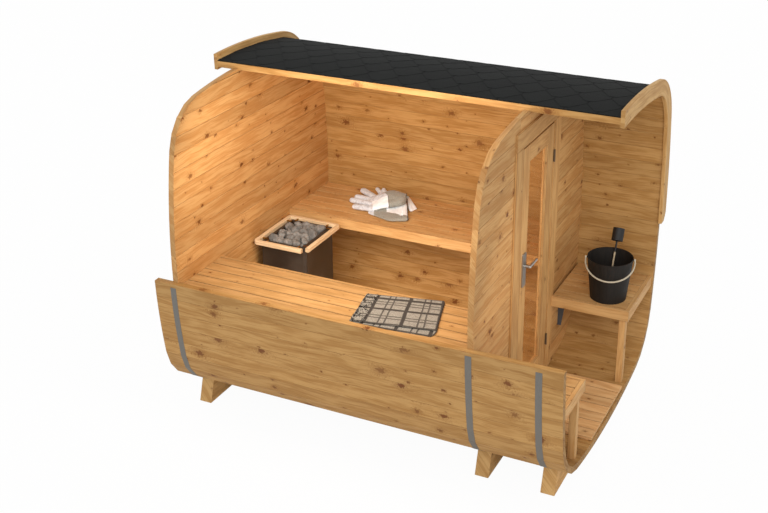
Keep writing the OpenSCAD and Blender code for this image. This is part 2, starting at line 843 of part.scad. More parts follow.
// A work glove lying flat: four fingers spread towards -X, a thumb, the palm, and a cuff
// turned by bend. The thumb is on the side of -Y, or of +Y with side -1.
module glove(bend, side) {
    palm = [70, 62];
    cuff = [120, 88];
    finger_len = 105;
    thumb_len = 115;
    color("gainsboro") linear_extrude(glove_t) scale([1, side]) {
        square(2 * palm, center = true);
        for (k = [-1.5 : 1.5]) translate([-palm.x, 30 * k]) rotate(-18 * k) finger(finger_len);
        translate([palm.x / 3, -palm.y / 2]) rotate(60) finger(thumb_len);
        translate([palm.x, 0]) rotate(bend) polygon([[-palm.x / 2, -palm.y], [cuff.x, -cuff.y],
            [cuff.x, cuff.y], [-palm.x / 2, palm.y]]);
    }
}

// One glove lies over the other, moved by lap.
module gloves() {
    lap = [-108, 76];
    y = front_y(rear_slats, bench_z) + glove_in;
    in_shell() translate([room_x + glove_end, y, bench_z]) {
        rotate(11) glove(0, 1);
        translate([lap.x, lap.y, glove_t]) rotate(8) glove(-26, -1);
    }
}

shell_near_side();
shell_bottom();
shell_back();
shell_roof();
roof_cover();
trim_left();
trim_right();
end_wall();
partition_near();
partition_rear();
partition_head();
partition_sill();
door_frame();
door_boards();
hinge_pins();
door_leaf();
door_glass();
hinge_leaves();
door_plates();
door_lever();
room_floor();
porch_floor();
near_bench_frame();
near_bench_slats();
rear_bench_frame();
rear_bench_slats();
porch_near_frame();
porch_near_slats();
porch_rear_frame();
porch_rear_slats();
bench_bracket();
steel_bands();
cradle_left();
cradle_middle();
cradle_right();
heater_case();
heater_stones();
heater_rail();
rail_tabs();
bucket();
bucket_bail();
ladle();
towel();
gloves();
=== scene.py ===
"""Cube sauna, cutaway: timber, steel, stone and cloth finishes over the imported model.

The shell is a row of planed spruce staves round a rounded square, the walls and floors are
spruce boards, and the loose things are a heater with stones, a bucket, a ladle, a towel and
two work gloves. Lengths are metres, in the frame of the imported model.
"""
import logging
import math
import random
from collections.abc import Iterator, Sequence
from contextlib import contextmanager
from dataclasses import dataclass, field
from enum import Enum

import bmesh
import bpy
from mathutils import Matrix, Vector, noise


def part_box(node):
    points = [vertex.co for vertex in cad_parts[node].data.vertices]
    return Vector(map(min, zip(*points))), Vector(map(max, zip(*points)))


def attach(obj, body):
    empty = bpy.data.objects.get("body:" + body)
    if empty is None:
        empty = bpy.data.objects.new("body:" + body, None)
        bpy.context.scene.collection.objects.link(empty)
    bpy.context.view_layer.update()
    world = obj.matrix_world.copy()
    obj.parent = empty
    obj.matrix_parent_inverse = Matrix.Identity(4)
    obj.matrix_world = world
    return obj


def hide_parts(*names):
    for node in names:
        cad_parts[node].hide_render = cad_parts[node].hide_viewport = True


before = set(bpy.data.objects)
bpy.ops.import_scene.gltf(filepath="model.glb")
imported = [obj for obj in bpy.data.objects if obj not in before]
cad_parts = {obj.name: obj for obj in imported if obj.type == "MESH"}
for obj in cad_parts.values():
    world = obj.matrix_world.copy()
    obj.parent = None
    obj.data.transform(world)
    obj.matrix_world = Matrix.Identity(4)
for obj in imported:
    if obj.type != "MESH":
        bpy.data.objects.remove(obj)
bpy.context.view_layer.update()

log = logging.getLogger("sauna")
MM = 0.001
WHITE = (1.0, 1.0, 1.0, 1.0)
RIGHT, UP = Vector((1, 0, 0)), Vector((0, 0, 1))
WOOD_MARKS = ("tone", "end", "seam")
TINY = 1e-6

Colour = tuple[float, float, float, float]
Point2 = tuple[float, float]
Point3 = tuple[float, float, float]
BMesh, Material, Mesh = bmesh.types.BMesh, bpy.types.Material, bpy.types.Mesh
Node, Object, Socket = bpy.types.Node, bpy.types.Object, bpy.types.NodeSocket
Value = float | Socket


def linear(code: str) -> Colour:
    """Turns an sRGB hex colour, "#rrggbb", into the linear colour that shaders use."""
    parts = (int(code[i:i + 2], 16) / 255 for i in (1, 3, 5))
    return (*(c / 12.92 if c <= 0.04045 else ((c + 0.055) / 1.055) ** 2.4 for c in parts), 1.0)


class Grain(Enum):
    """The way a board's fibres run."""

    X = (1.0, 0.0, 0.0)
    Y = (0.0, 1.0, 0.0)
    Z = (0.0, 0.0, 1.0)


class Tree:
    """A node tree, with the few nodes that the finishes and the recipes are made of."""

    def __init__(self, tree: bpy.types.NodeTree) -> None:
        """Takes over a tree and empties it."""
        self.tree = tree
        tree.nodes.clear()

    def plug(self, node: Node, links: dict) -> None:
        """Fills a node's inputs.

        Args:
            node: The node.
            links: Input name or index to a value, or to the output that it is linked from.
        """
        for key, value in links.items():
            if isinstance(value, Socket):
                self.tree.links.new(value, node.inputs[key])
            else:
                node.inputs[key].default_value = value

    def add(self, kind: str, links: dict | None = None, **settings) -> Node:
        """Adds one node.

        Args:
            kind: Its type name.
            links: What its inputs hold, as in plug.
            settings: Its own properties.

        Returns:
            The new node.
        """
        node = self.tree.nodes.new(kind)
        for name, value in settings.items():
            setattr(node, name, value)
        self.plug(node, links or {})
        return node

    def maths(self, op: str, *values, clamp: bool = False) -> Socket:
        """Adds a Math node on up to three values or sockets and returns its output."""
        links = dict(enumerate(values))
        return self.add("ShaderNodeMath", links, operation=op, use_clamp=clamp).outputs[0]

    def times(self, *values, clamp: bool = False) -> Socket:
        """Multiplies two values or sockets."""
        return self.maths("MULTIPLY", *values, clamp=clamp)

    def less(self, *values) -> Socket:
        """Takes the second value or socket from the first."""
        return self.maths("SUBTRACT", *values)

    def vector(self, op: str, *values, **named) -> Socket:
        """Adds a Vector Math node on values or sockets and returns its output."""
        node = self.add("ShaderNodeVectorMath", {**dict(enumerate(values)), **named}, operation=op)
        return node.outputs["Value" if op == "LENGTH" else "Vector"]

    def parts(self, vector: Socket) -> Sequence[Socket]:
        """Adds a Separate XYZ node and returns its three outputs."""
        return self.add("ShaderNodeSeparateXYZ", {0: vector}).outputs

    def joined(self, *parts) -> Socket:
        """Adds a Combine XYZ node on up to three values or sockets and returns its output."""
        return self.add("ShaderNodeCombineXYZ", dict(enumerate(parts))).outputs[0]

    def noise(self, place: Socket, scale: float, detail: float = 2.0, flat: bool = False,
              **named) -> Socket:
        """Adds a Noise texture, flat as on a UV map, in space, or with W in 4D, and reads it."""
        links = {"Vector": place, "Scale": scale, "Detail": detail, **named}
        return self.add("ShaderNodeTexNoise", links, noise_dimensions=(
            "4D" if "W" in named else "2D" if flat else "3D")).outputs[0]


# ---- Finishes ----


class Surface(Tree):
    """A finish in the making: a node material with one Principled shader."""

    def __init__(self, name: str) -> None:
        """Starts the material.

        Args:
            name: Its name.
        """
        self.material = bpy.data.materials.new(name)
        self.material.use_nodes = True
        super().__init__(self.material.node_tree)
        self.shader = self.add("ShaderNodeBsdfPrincipled")
        self.add("ShaderNodeOutputMaterial", {"Surface": self.shader.outputs[0]})

    def place(self) -> Socket:
        """Gives a point's place in the model."""
        return self.add("ShaderNodeTexCoord").outputs["Object"]

    def own_map(self, name: str) -> Socket:
        """Gives a point's place on the piece's own UV map."""
        return self.add("ShaderNodeUVMap", uv_map=name).outputs[0]

    def mark(self, name: str) -> Socket:
        """Gives what the piece's mesh says under a name."""
        return self.add("ShaderNodeAttribute", attribute_name=name).outputs["Fac"]

    def spread(self, value: Socket, low: float, high: float, to_low: Value = 0.0,
               to_high: Value = 1.0) -> Socket:
        """Maps a value from low..high to to_low..to_high with a smooth step."""
        links = {"Value": value, "From Min": low, "From Max": high, "To Min": to_low,
                 "To Max": to_high}
        return self.add("ShaderNodeMapRange", links, interpolation_type="SMOOTHSTEP").outputs[0]

    def blended(self, factor: Value, first: str | Colour | Socket, second: str | Colour | Socket,
                how: str = "MIX") -> Socket:
        """Mixes two colours, each a socket or a hex code, by a factor."""
        first, second = (linear(c) if isinstance(c, str) else c for c in (first, second))
        return self.add("ShaderNodeMix", {0: factor, 6: first, 7: second}, data_type="RGBA",
                        blend_type=how).outputs[2]

    def bump(self, height: Socket, strength: float, depth_mm: float, **named) -> Socket:
        """Turns a height into a bumpy normal."""
        links = {"Height": height, "Strength": strength, "Distance": depth_mm * MM, **named}
        return self.add("ShaderNodeBump", links).outputs[0]

    def done(self, sockets: dict) -> Material:
        """Fills the shader's sockets and returns the material."""
        self.plug(self.shader, sockets)
        return self.material


@dataclass(frozen=True)
class PlanedSpruce:
    """Planed Nordic spruce: pale even wood with fine growth lines and small brown knots.

    The boards carry a UV map "grain" in metres, along and across the fibres, and the face
    values "tone" (one per board), "end" (sawn end) and "seam" (narrow bevel).
    """

    name: str
    pale: str
    warm: str
    late: str
    knot: str = "#6e3f1a"
    knots: float = 0.6
    knot_least_mm: float = 3.2
    knot_most_mm: float = 11.0
    knot_along_mm: float = 210.0
    knot_across_mm: float = 92.0
    knot_flat: float = 0.7
    halo_share: float = 0.42
    pushed: float = 0.75
    drift: float = 0.06
    late_share: float = 0.32
    fine_share: float = 0.10
    # How dark the narrow bevels are: partly dirt, partly painted shade in the grooves.
    seam_dirt_and_shade: float = 0.62
    end_dark: float = 0.18
    tone_range: float = 0.2
    rough: float = 0.6

    def knotted(self, s: Surface, uv: Socket) -> tuple[Socket, Socket, Socket]:
        """Scatters the knots, one in some of the cells of a loose grid.

        Args:
            s: The finish.
            uv: The place on the board.

        Returns:
            How much knot and how much halo there is, and the distance across from the knot.
        """
        size = (self.knot_along_mm * MM, self.knot_across_mm * MM, 1.0)
        cells = s.vector("MULTIPLY", uv, (1 / size[0], 1 / size[1], 0.0))
        knots = s.add("ShaderNodeTexVoronoi", {"Vector": cells, "Scale": 1.0, "Randomness": 0.9},
                      voronoi_dimensions="2D").outputs
        metres = s.vector("MULTIPLY", s.vector("SUBTRACT", cells, knots["Position"]), size)
        # Knots are a little longer along the board than across it, and their rims are uneven.
        oval = s.vector("MULTIPLY", metres, (self.knot_flat, 1.0, 0.0))
        uneven = s.spread(s.noise(uv, 75.0, flat=True), 0.28, 0.72, 0.6, 1.45)
        far = s.times(s.vector("LENGTH", oval), uneven)
        dice = s.add("ShaderNodeSeparateColor", {0: knots["Color"]}).outputs
        there = s.maths("LESS_THAN", dice[0], self.knots)
        # Small knots are far more common than big ones.
        radius = s.maths("MULTIPLY_ADD", s.maths("POWER", dice[1], 2.2), self.knot_most_mm * MM,
                         self.knot_least_mm * MM)
        share = s.maths("DIVIDE", far, radius)
        depth = s.maths("MULTIPLY_ADD", dice[2], 0.4, 0.6)
        core = s.times(s.spread(share, 0.6, 1.2, depth, 0.0), there)
        halo = s.times(s.spread(share, 0.8, 3.2, 1.0, 0.0), there)
        return core, halo, s.parts(metres)[1]

    def material(self) -> Material:
        """Builds the wood: streaks, growth lines, knots with their halo, seams darkened with dirt
        and painted shade, and sawn ends.

        Returns:
            The finish.
        """
        s = Surface(self.name)
        uv = s.own_map("grain")
        core, halo, beside = self.knotted(s, uv)
        along, across = s.parts(uv)[:2]
        # Growth lines are pushed apart round a knot, and wander a little along the board.
        across = s.less(across, s.times(s.times(beside, halo), self.pushed))
        across = s.maths("MULTIPLY_ADD", s.noise(uv, 1.8, 3.0, flat=True), self.drift, across)

        def lines(waves_along: float, waves_across: float, detail: float) -> Socket:
            """Gives noise drawn out along the fibres, by its waves per metre."""
            place = s.joined(s.times(along, waves_along), s.times(across, waves_across))
            return s.noise(place, 1.0, detail, flat=True, Roughness=0.6)

        broad, growth, fine = (lines(*scale) for scale in
                               ((3.2, 22.0, 3.0), (3.0, 90.0, 2.0), (12.0, 420.0, 2.0)))
        streak = s.maths("ADD", s.times(broad, 0.75), s.times(growth, 0.25))
        wood = s.blended(s.spread(streak, 0.38, 0.62), self.pale, self.warm)
        ring = s.times(s.spread(growth, 0.5, 0.78), self.late_share)
        wood = s.blended(ring, wood, self.late)
        wood = s.blended(s.spread(fine, 0.35, 0.75, 0.0, self.fine_share), wood, self.late,
                         "MULTIPLY")
        wood = s.blended(s.times(halo, self.halo_share), wood, self.late)
        wood = s.blended(core, wood, self.knot)
        tone, end, seam = (s.mark(name) for name in WOOD_MARKS)
        bright = s.maths("MULTIPLY_ADD", tone, self.tone_range, 1.0 - self.tone_range / 2)
        # Sawn ends are darker, as end grain is. The narrow bevels are darker too: partly dirt,
        # partly painted shade in the grooves between boards.
        for mark, darker in ((end, -self.end_dark), (seam, self.seam_dirt_and_shade - 1.0)):
            bright = s.times(bright, s.maths("MULTIPLY_ADD", mark, darker, 1.0))
        dull = s.spread(growth, 0.2, 0.8, self.rough - 0.06, self.rough + 0.08)
        return s.done({"Base Color": s.vector("SCALE", wood, Scale=bright), "Roughness": dull,
                       "IOR": 1.45, "Specular IOR Level": 0.35, "Normal": s.bump(fine, 0.25, 0.4)})


@dataclass(frozen=True)
class BrushedSteel:
    """Sheet, strip or turned metal: fine upright lines under faint cloudy marks."""

    name: str
    tint: str
    rough: float = 0.38
    metallic: float = 1.0
    line_mm: float = 1.2
    line_waves: float = 4.0
    dark_share: float = 0.78

    def material(self) -> Material:
        """Builds the metal with its lines and cloudy marks.

        Returns:
            The finish.
        """
        s = Surface(self.name)
        place = s.place()
        across = 1.0 / (self.line_mm * MM)
        brush = s.noise(s.vector("MULTIPLY", place, (across, across, self.line_waves)), 1.0)
        cloud = s.noise(place, 9.0, 3.0)
        base = linear(self.tint)
        dark = tuple(c * self.dark_share for c in base[:3]) + (1.0,)
        colour = s.blended(s.spread(brush, 0.3, 0.7), dark, base)
        colour = s.blended(s.spread(cloud, 0.35, 0.75, 0.0, 0.25), colour, dark)
        return s.done({"Base Color": colour, "Metallic": self.metallic,
                       "Roughness": s.spread(brush, 0.2, 0.8, self.rough - 0.08, self.rough + 0.1),
                       "Normal": s.bump(brush, 0.12, 0.1)})


@dataclass(frozen=True)
class BitumenShingle:
    """Bitumen felt with a slate-grit face: nearly black, matt, and grainy close to.

    The tabs carry the values "tone" (one per tab) and "edge" (where a painted shadow line darkens
    the tab's cut edge).
    """

    name: str = "bitumen shingle with slate grit"
    grit: str = "#191b19"
    felt: str = "#0c0d0d"
    # Near-black painted shadow for the tabs' cut edges, standing in for the shade of each step.
    painted_shadow: str = "#060707"
    grit_mm: float = 1.6

    def material(self) -> Material:
        """Builds the felt: grit, cloudy wear, one tone for each tab and a painted shadow along its
        edge.

        Returns:
            The finish.
        """
        s = Surface(self.name)
        place = s.place()
        grit = s.noise(place, 1.0 / (self.grit_mm * MM), Roughness=0.7)
        cloud = s.noise(place, 6.0, 3.0)
        worn = s.maths("ADD", s.times(cloud, 0.25), s.times(s.mark("tone"), 0.45))
        mix = s.maths("ADD", s.times(s.spread(grit, 0.35, 0.65), 0.5), worn)
        face = s.blended(s.times(mix, 0.8, clamp=True), self.felt, self.grit)
        # The edge mark blends in the painted shadow along the tabs' cut edges.
        colour = s.blended(s.spread(s.mark("edge"), 0.25, 0.75), face, self.painted_shadow)
        return s.done({"Base Color": colour, "Roughness": 0.92, "IOR": 1.5,
                       "Specular IOR Level": 0.2, "Normal": s.bump(grit, 0.5, 0.8)})


@dataclass(frozen=True)
class ClearGlass:
    """Toughened float glass: clear, and faintly warm."""

    name: str = "toughened float glass"
    tint: str = "#fff4e8"

    def material(self) -> Material:
        """Builds the glass, with slight smears that break up its gloss.

        Returns:
            The finish.
        """
        s = Surface(self.name)
        smear = s.spread(s.noise(s.place(), 7.0, 4.0), 0.45, 0.8, 0.02, 0.09)
        return s.done({"Base Color": linear(self.tint), "Roughness": smear, "IOR": 1.5,
                       "Transmission Weight": 1.0})


@dataclass(frozen=True)
class SoftSkin:
    """A smooth skin with a soft shine: heat-proof enamel on sheet steel, or oiled bent wood."""

    name: str
    skin: str
    worn: str
    peel_mm: float = 3.0

    def material(self) -> Material:
        """Builds the skin with its cloudy wear and faint orange-peel surface.

        Returns:
            The finish.
        """
        s = Surface(self.name)
        place = s.place()
        cloud = s.noise(place, 5.0, 4.0)
        peel = s.noise(place, 1 / (self.peel_mm * MM))
        return s.done({
            "Base Color": s.blended(s.spread(cloud, 0.4, 0.75, 0.0, 0.6), self.skin, self.worn),
            "Roughness": s.spread(cloud, 0.3, 0.7, 0.38, 0.52), "IOR": 1.5,
            "Normal": s.bump(peel, 0.12, 0.3)})


@dataclass(frozen=True)
class CheckedCotton:
    """Slub cotton in a plain check: cream ground, broad and narrow dark brown lines.

    The cloth carries the UV map "cloth" in metres, along its length and across it. Each line
    is its middle as a share of the folded length or the width, its width in mm and its depth.
    """

    long: float
    wide: float
    name: str = "checked slub cotton"
    cream: str = "#9a968c"
    slub: str = "#716b60"
    line: str = "#1c1513"
    thread_mm: float = 2.4
    sway_mm: float = 8.0
    across: tuple[Point3, ...] = (
        (0.15, 22, 1.0), (0.30, 10, 0.85), (0.37, 10, 0.85), (0.56, 23, 1.0), (0.74, 10, 0.85),
        (0.81, 10, 0.85), (0.965, 26, 1.0))
    along: tuple[Point3, ...] = (
        (0.03, 16, 0.95), (0.21, 12, 0.8), (0.29, 12, 0.8), (0.52, 25, 1.0), (0.69, 12, 0.75),
        (0.77, 12, 0.75), (0.885, 27, 1.0), (0.99, 8, 0.6))

    @staticmethod
    def stripes(s: Surface, at: Socket, size: float, lines: Sequence[Point3]) -> Socket:
        """Adds lines across one direction of the cloth.

        Args:
            s: The finish.
            at: Distance in that direction.
            size: The cloth's size in that direction.
            lines: The lines.

        Returns:
            How much line colour there is.
        """
        total = None
        for share, width_mm, depth in lines:
            middle, width = size * share, width_mm * MM
            off = s.maths("ABSOLUTE", s.less(at, middle))
            one = s.spread(off, width * 0.35, width * 0.62, depth, 0.0)
            total = one if total is None else s.maths("MAXIMUM", total, one)
        return total

    def material(self) -> Material:
        """Builds the check, the uneven threads and the small bumps of the weave.

        Returns:
            The finish.
        """
        s = Surface(self.name)
        uv = s.own_map("cloth")
        bend = s.add("ShaderNodeTexNoise", {"Vector": uv, "Scale": 9.0, "Detail": 2.0},
                     noise_dimensions="2D").outputs["Color"]
        at = s.parts(s.vector("ADD", uv, s.vector("SCALE", bend, Scale=self.sway_mm * MM)))
        # Both layers show the same repeat, mirrored at the fold.
        half = self.long / 2
        off = s.maths("ABSOLUTE", s.less(at[0], half))
        over = self.stripes(s, s.less(half, off), half, self.across)
        check = s.maths("MAXIMUM", over, self.stripes(s, at[1], self.wide, self.along))
        threads = []
        for turn in ((1.0, 0.2), (0.2, 1.0)):
            scale = tuple(c / (self.thread_mm * MM) for c in turn) + (1.0,)
            threads.append(s.noise(s.vector("MULTIPLY", uv, scale), 1.0, flat=True))
        weave = s.times(s.maths("ADD", *threads), 0.5)
        patch = s.noise(uv, 55.0, 3.0, flat=True)
        ground = s.blended(s.spread(weave, 0.4, 0.62), self.cream, self.slub)
        ground = s.blended(s.spread(patch, 0.45, 0.75, 0.0, 0.45), ground, self.slub)
        ink = s.times(check, s.spread(weave, 0.25, 0.6, 1.0, 0.8))
        return s.done({"Base Color": s.blended(ink, ground, self.line), "Roughness": 0.95,
                       "Specular IOR Level": 0.2, "Sheen Weight": 0.05,
                       "Normal": s.bump(weave, 0.7, 1.0)})


@dataclass(frozen=True)
class LooseThread:
    """Loose cotton thread of the fringe: cream and dark brown ends mixed."""

    name: str = "loose cotton thread"
    cream: str = "#9d998e"
    line: str = "#1c1513"

    def material(self) -> Material:
        """Builds the thread, whose ends change colour every few centimetres.

        Returns:
            The finish.
        """
        s = Surface(self.name)
        kind = s.spread(s.noise(s.place(), 45.0, 1.0), 0.38, 0.46)
        return s.done({"Base Color": s.blended(kind, self.cream, self.line), "Roughness": 0.95})


@dataclass(frozen=True)
class WorkGlove:
    """Split cowhide and cotton canvas, as sewn on rigger gloves.

    The glove carries three point values, "canvas", "band" and the dark mark: 1 where the grey
    canvas, the starched white band or the dark mark is, and 0 on the hide. The dark mark is the
    bound edge, and also painted shade along the band's edge and inside the cuff's opening.
    """

    name: str = "split hide and canvas"
    hide: str = "#d6dae0"
    hide_deep: str = "#a3a4a8"
    canvas: str = "#85847a"
    canvas_pale: str = "#a9a89e"
    band: str = "#f6fbff"
    # Dark grey of the bound edge, also used as painted shade along the band's edge and inside the
    # cuff.
    rim: str = "#45454a"

    def material(self) -> Material:
        """Builds the nap of the hide, the canvas weave, and the white band with its bound edge and
        painted shade.

        Returns:
            The finish.
        """
        s = Surface(self.name)
        place = s.place()
        nap, fleck = s.noise(place, 60.0, 4.0), s.noise(place, 480.0)
        colour = s.blended(s.spread(nap, 0.4, 0.75, 0.0, 0.7), self.hide, self.hide_deep)
        cloth = s.blended(s.spread(fleck, 0.42, 0.6), self.canvas, self.canvas_pale)
        for name, other in (("canvas", cloth), ("band", self.band), ("rim", self.rim)):
            colour = s.blended(s.spread(s.mark(name), 0.35, 0.65), colour, other)
        return s.done({"Base Color": colour, "Roughness": 0.9, "Specular IOR Level": 0.25,
                       "Sheen Weight": 0.2, "Normal": s.bump(fleck, 0.35, 0.6)})


@dataclass(frozen=True)
class StavedBucket:
    """Tarred bucket staves: black-brown, with upright joints and a soft oily shine."""

    axis: Point2
    name: str = "tarred bucket staves"
    skin: str = "#14110e"
    worn: str = "#251f1a"
    joint: str = "#0c0a09"
    staves: int = 18

    def material(self) -> Material:
        """Builds the staves by their angle round the bucket's axis.

        Returns:
            The finish.
        """
        s = Surface(self.name)
        place = s.place()
        at = s.parts(place)
        turn = s.maths("ARCTAN2", s.less(at[1], self.axis[1]), s.less(at[0], self.axis[0]))
        part = s.times(turn, self.staves / (2 * math.pi))
        off = s.maths("ABSOLUTE", s.less(s.maths("FRACT", part), 0.5))
        gap = s.spread(off, 0.44, 0.5)
        grain = s.noise(s.vector("MULTIPLY", place, (160.0, 160.0, 9.0)), 1.0, 3.0)
        lone = s.add("ShaderNodeTexWhiteNoise", {"W": s.maths("FLOOR", part)},
                     noise_dimensions="1D").outputs[0]
        mix = s.maths("ADD", s.spread(grain, 0.35, 0.7, 0.0, 0.6), s.times(lone, 0.35))
        colour = s.blended(mix, self.skin, self.worn)
        height = s.less(s.times(grain, 0.3), gap)
        return s.done({"Base Color": s.blended(s.times(gap, 0.7), colour, self.joint),
                       "Roughness": s.spread(grain, 0.2, 0.8, 0.55, 0.7),
                       "Specular IOR Level": 0.3, "Normal": s.bump(height, 0.5, 0.8)})


@dataclass(frozen=True)
class TwoPartLadle:
    """Ladle of blackened steel whose long handle is pale turned wood below a height."""

    change: float
    name: str = "blackened steel and turned birch"
    black: str = "#0f0d0c"
    black_worn: str = "#1c1917"
    wood: str = "#c4b193"
    wood_deep: str = "#9c8766"

    def material(self) -> Material:
        """Builds black above the change of height and turned wood below it.

        Returns:
            The finish.
        """
        s = Surface(self.name)
        place = s.place()
        grain = s.noise(s.vector("MULTIPLY", place, (300.0, 300.0, 14.0)), 1.0, 3.0)
        cloud = s.noise(place, 40.0, 3.0)
        wood = s.blended(s.spread(grain, 0.35, 0.7), self.wood, self.wood_deep)
        metal = s.blended(s.spread(cloud, 0.4, 0.8, 0.0, 0.6), self.black, self.black_worn)
        upper = s.spread(s.parts(place)[2], self.change - 1 * MM, self.change + 1 * MM)
        return s.done({"Base Color": s.blended(upper, wood, metal),
                       "Roughness": s.maths("MULTIPLY_ADD", cloud, 0.25, 0.5),
                       "Normal": s.bump(grain, 0.2, 0.3)})


@dataclass(frozen=True)
class SaunaStone:
    """Split olivine diabase: grey-green, dull, with dark grains and pale broken faces."""

    name: str = "split olivine stone"
    grey: str = "#686662"
    pale: str = "#8e8b86"
    dark: str = "#3a3836"

    def material(self) -> Material:
        """Builds the stone: patches a few centimetres wide and grains of 2 mm.

        Returns:
            The finish.
        """
        s = Surface(self.name)
        place = s.place()
        patch = s.noise(place, 26.0, 4.0)
        grain = s.add("ShaderNodeTexVoronoi", {"Vector": place, "Scale": 420.0}).outputs["Color"]
        grain = s.add("ShaderNodeSeparateColor", {0: grain}).outputs[0]
        colour = s.blended(s.spread(patch, 0.35, 0.65), self.grey, self.pale)
        colour = s.blended(s.spread(grain, 0.55, 0.95, 0.0, 0.5), colour, self.dark)
        bright = s.maths("MULTIPLY_ADD", s.mark("tone"), 0.35, 0.8)
        broken = s.bump(patch, 0.6, 2.0)
        return s.done({"Base Color": s.vector("SCALE", colour, Scale=bright), "Roughness": 0.85,
                       "IOR": 1.6, "Normal": s.bump(grain, 0.25, 0.6, Normal=broken)})


# ---- Boards ----


@contextmanager
def opened(mesh: Mesh, source: Mesh | None = None) -> Iterator[BMesh]:
    """Opens a mesh for work and puts the result back into it.

    Args:
        mesh: The mesh.
        source: The mesh that is worked on in its place, if any.

    Yields:
        What is worked on.
    """
    body = bmesh.new()
    body.from_mesh(source or mesh)
    yield body
    body.to_mesh(mesh)
    body.free()


def outward(body: BMesh) -> None:
    """Turns a mesh's faces outwards."""
    bmesh.ops.recalc_face_normals(body, faces=body.faces)


def along_fibres(body: BMesh, way: Vector) -> list[bmesh.types.BMEdge]:
    """Finds the edges that run the way of the fibres."""
    return [e for e in body.edges
            if abs((e.verts[1].co - e.verts[0].co).normalized().dot(way)) > 0.98]


def cut_open(body: BMesh, at: Vector, way: Vector, **options) -> list[bmesh.types.BMEdge]:
    """Cuts a mesh at a plane and returns the edges of the cut."""
    cut = bmesh.ops.bisect_plane(body, geom=body.verts[:] + body.edges[:] + body.faces[:],
                                 dist=1e-7, plane_co=at, plane_no=way, **options)
    return [e for e in cut["geom_cut"] if isinstance(e, bmesh.types.BMEdge)]


def placed(mesh: Mesh, name: str, *nodes: str, slot: str, body: str = "root",
           finish: Material | None = None) -> Object:
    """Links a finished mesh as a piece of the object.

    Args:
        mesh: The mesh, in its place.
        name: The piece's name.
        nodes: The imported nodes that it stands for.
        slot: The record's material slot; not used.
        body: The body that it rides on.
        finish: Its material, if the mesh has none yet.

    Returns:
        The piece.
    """
    if finish:
        mesh.materials.append(finish)
    obj = bpy.data.objects.new(name, mesh)
    bpy.context.scene.collection.objects.link(obj)
    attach(obj, body)
    if nodes:
        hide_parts(*nodes)
    log.info("%s: %d faces on %s", name, len(mesh.polygons), body)
    return obj


def islands(body: BMesh) -> list[list[bmesh.types.BMFace]]:
    """Finds the separate boards in a mesh.

    Args:
        body: The mesh.

    Returns:
        The faces of each board.
    """
    seen: set[int] = set()
    found = []
    body.faces.index_update()
    for first in body.faces:
        if first.index in seen:
            continue
        part, todo = [], [first]
        seen.add(first.index)
        while todo:
            f = todo.pop()
            part.append(f)
            for g in (g for e in f.edges for g in e.link_faces if g.index not in seen):
                seen.add(g.index)
                todo.append(g)
        found.append(part)
    return found


def lot(dice: random.Random) -> tuple[float, Point2]:
    """Draws a board's tone and its place in the wood, in metres."""
    return dice.random(), (dice.uniform(-40, 40), dice.uniform(-40, 40))


def lay_grain(mesh: Mesh, ways: Sequence[Grain], seed: int, narrow_mm: float = 4.5) -> None:
    """Gives each separate board of a mesh its own grain, tone and marks.

    Args:
        mesh: The mesh of boards.
        ways: The way the fibres run in each board in turn, or in all.
        seed: Seed of the tones and places in the wood.
        narrow_mm: Faces narrower than this are marked as seams.
    """
    dice = random.Random(seed)
    with opened(mesh) as body:
        uv = body.loops.layers.uv.get("grain") or body.loops.layers.uv.new("grain")
        floats = body.faces.layers.float
        marks = [floats.get(name) or floats.new(name) for name in WOOD_MARKS]
        for k, part in enumerate(islands(body)):
            way = Vector(ways[k % len(ways)].value)
            tone, shift = lot(dice)
            for f in part:
                end = abs(f.normal.dot(way)) > 0.8
                side = (f.normal.orthogonal() if end else f.normal.cross(way)).normalized()
                run = f.normal.cross(side) if end else way
                span = [v.co.dot(run) for v in f.verts]
                least = narrow_mm * MM * max(max(span) - min(span), TINY)
                narrow = not end and f.calc_area() < least
                for layer, value in zip(marks, (tone, float(end), float(narrow))):
                    f[layer] = value
                for loop in f.loops:
                    co = loop.vert.co
                    loop[uv].uv = (co.dot(run) + shift[0], co.dot(side) + shift[1])


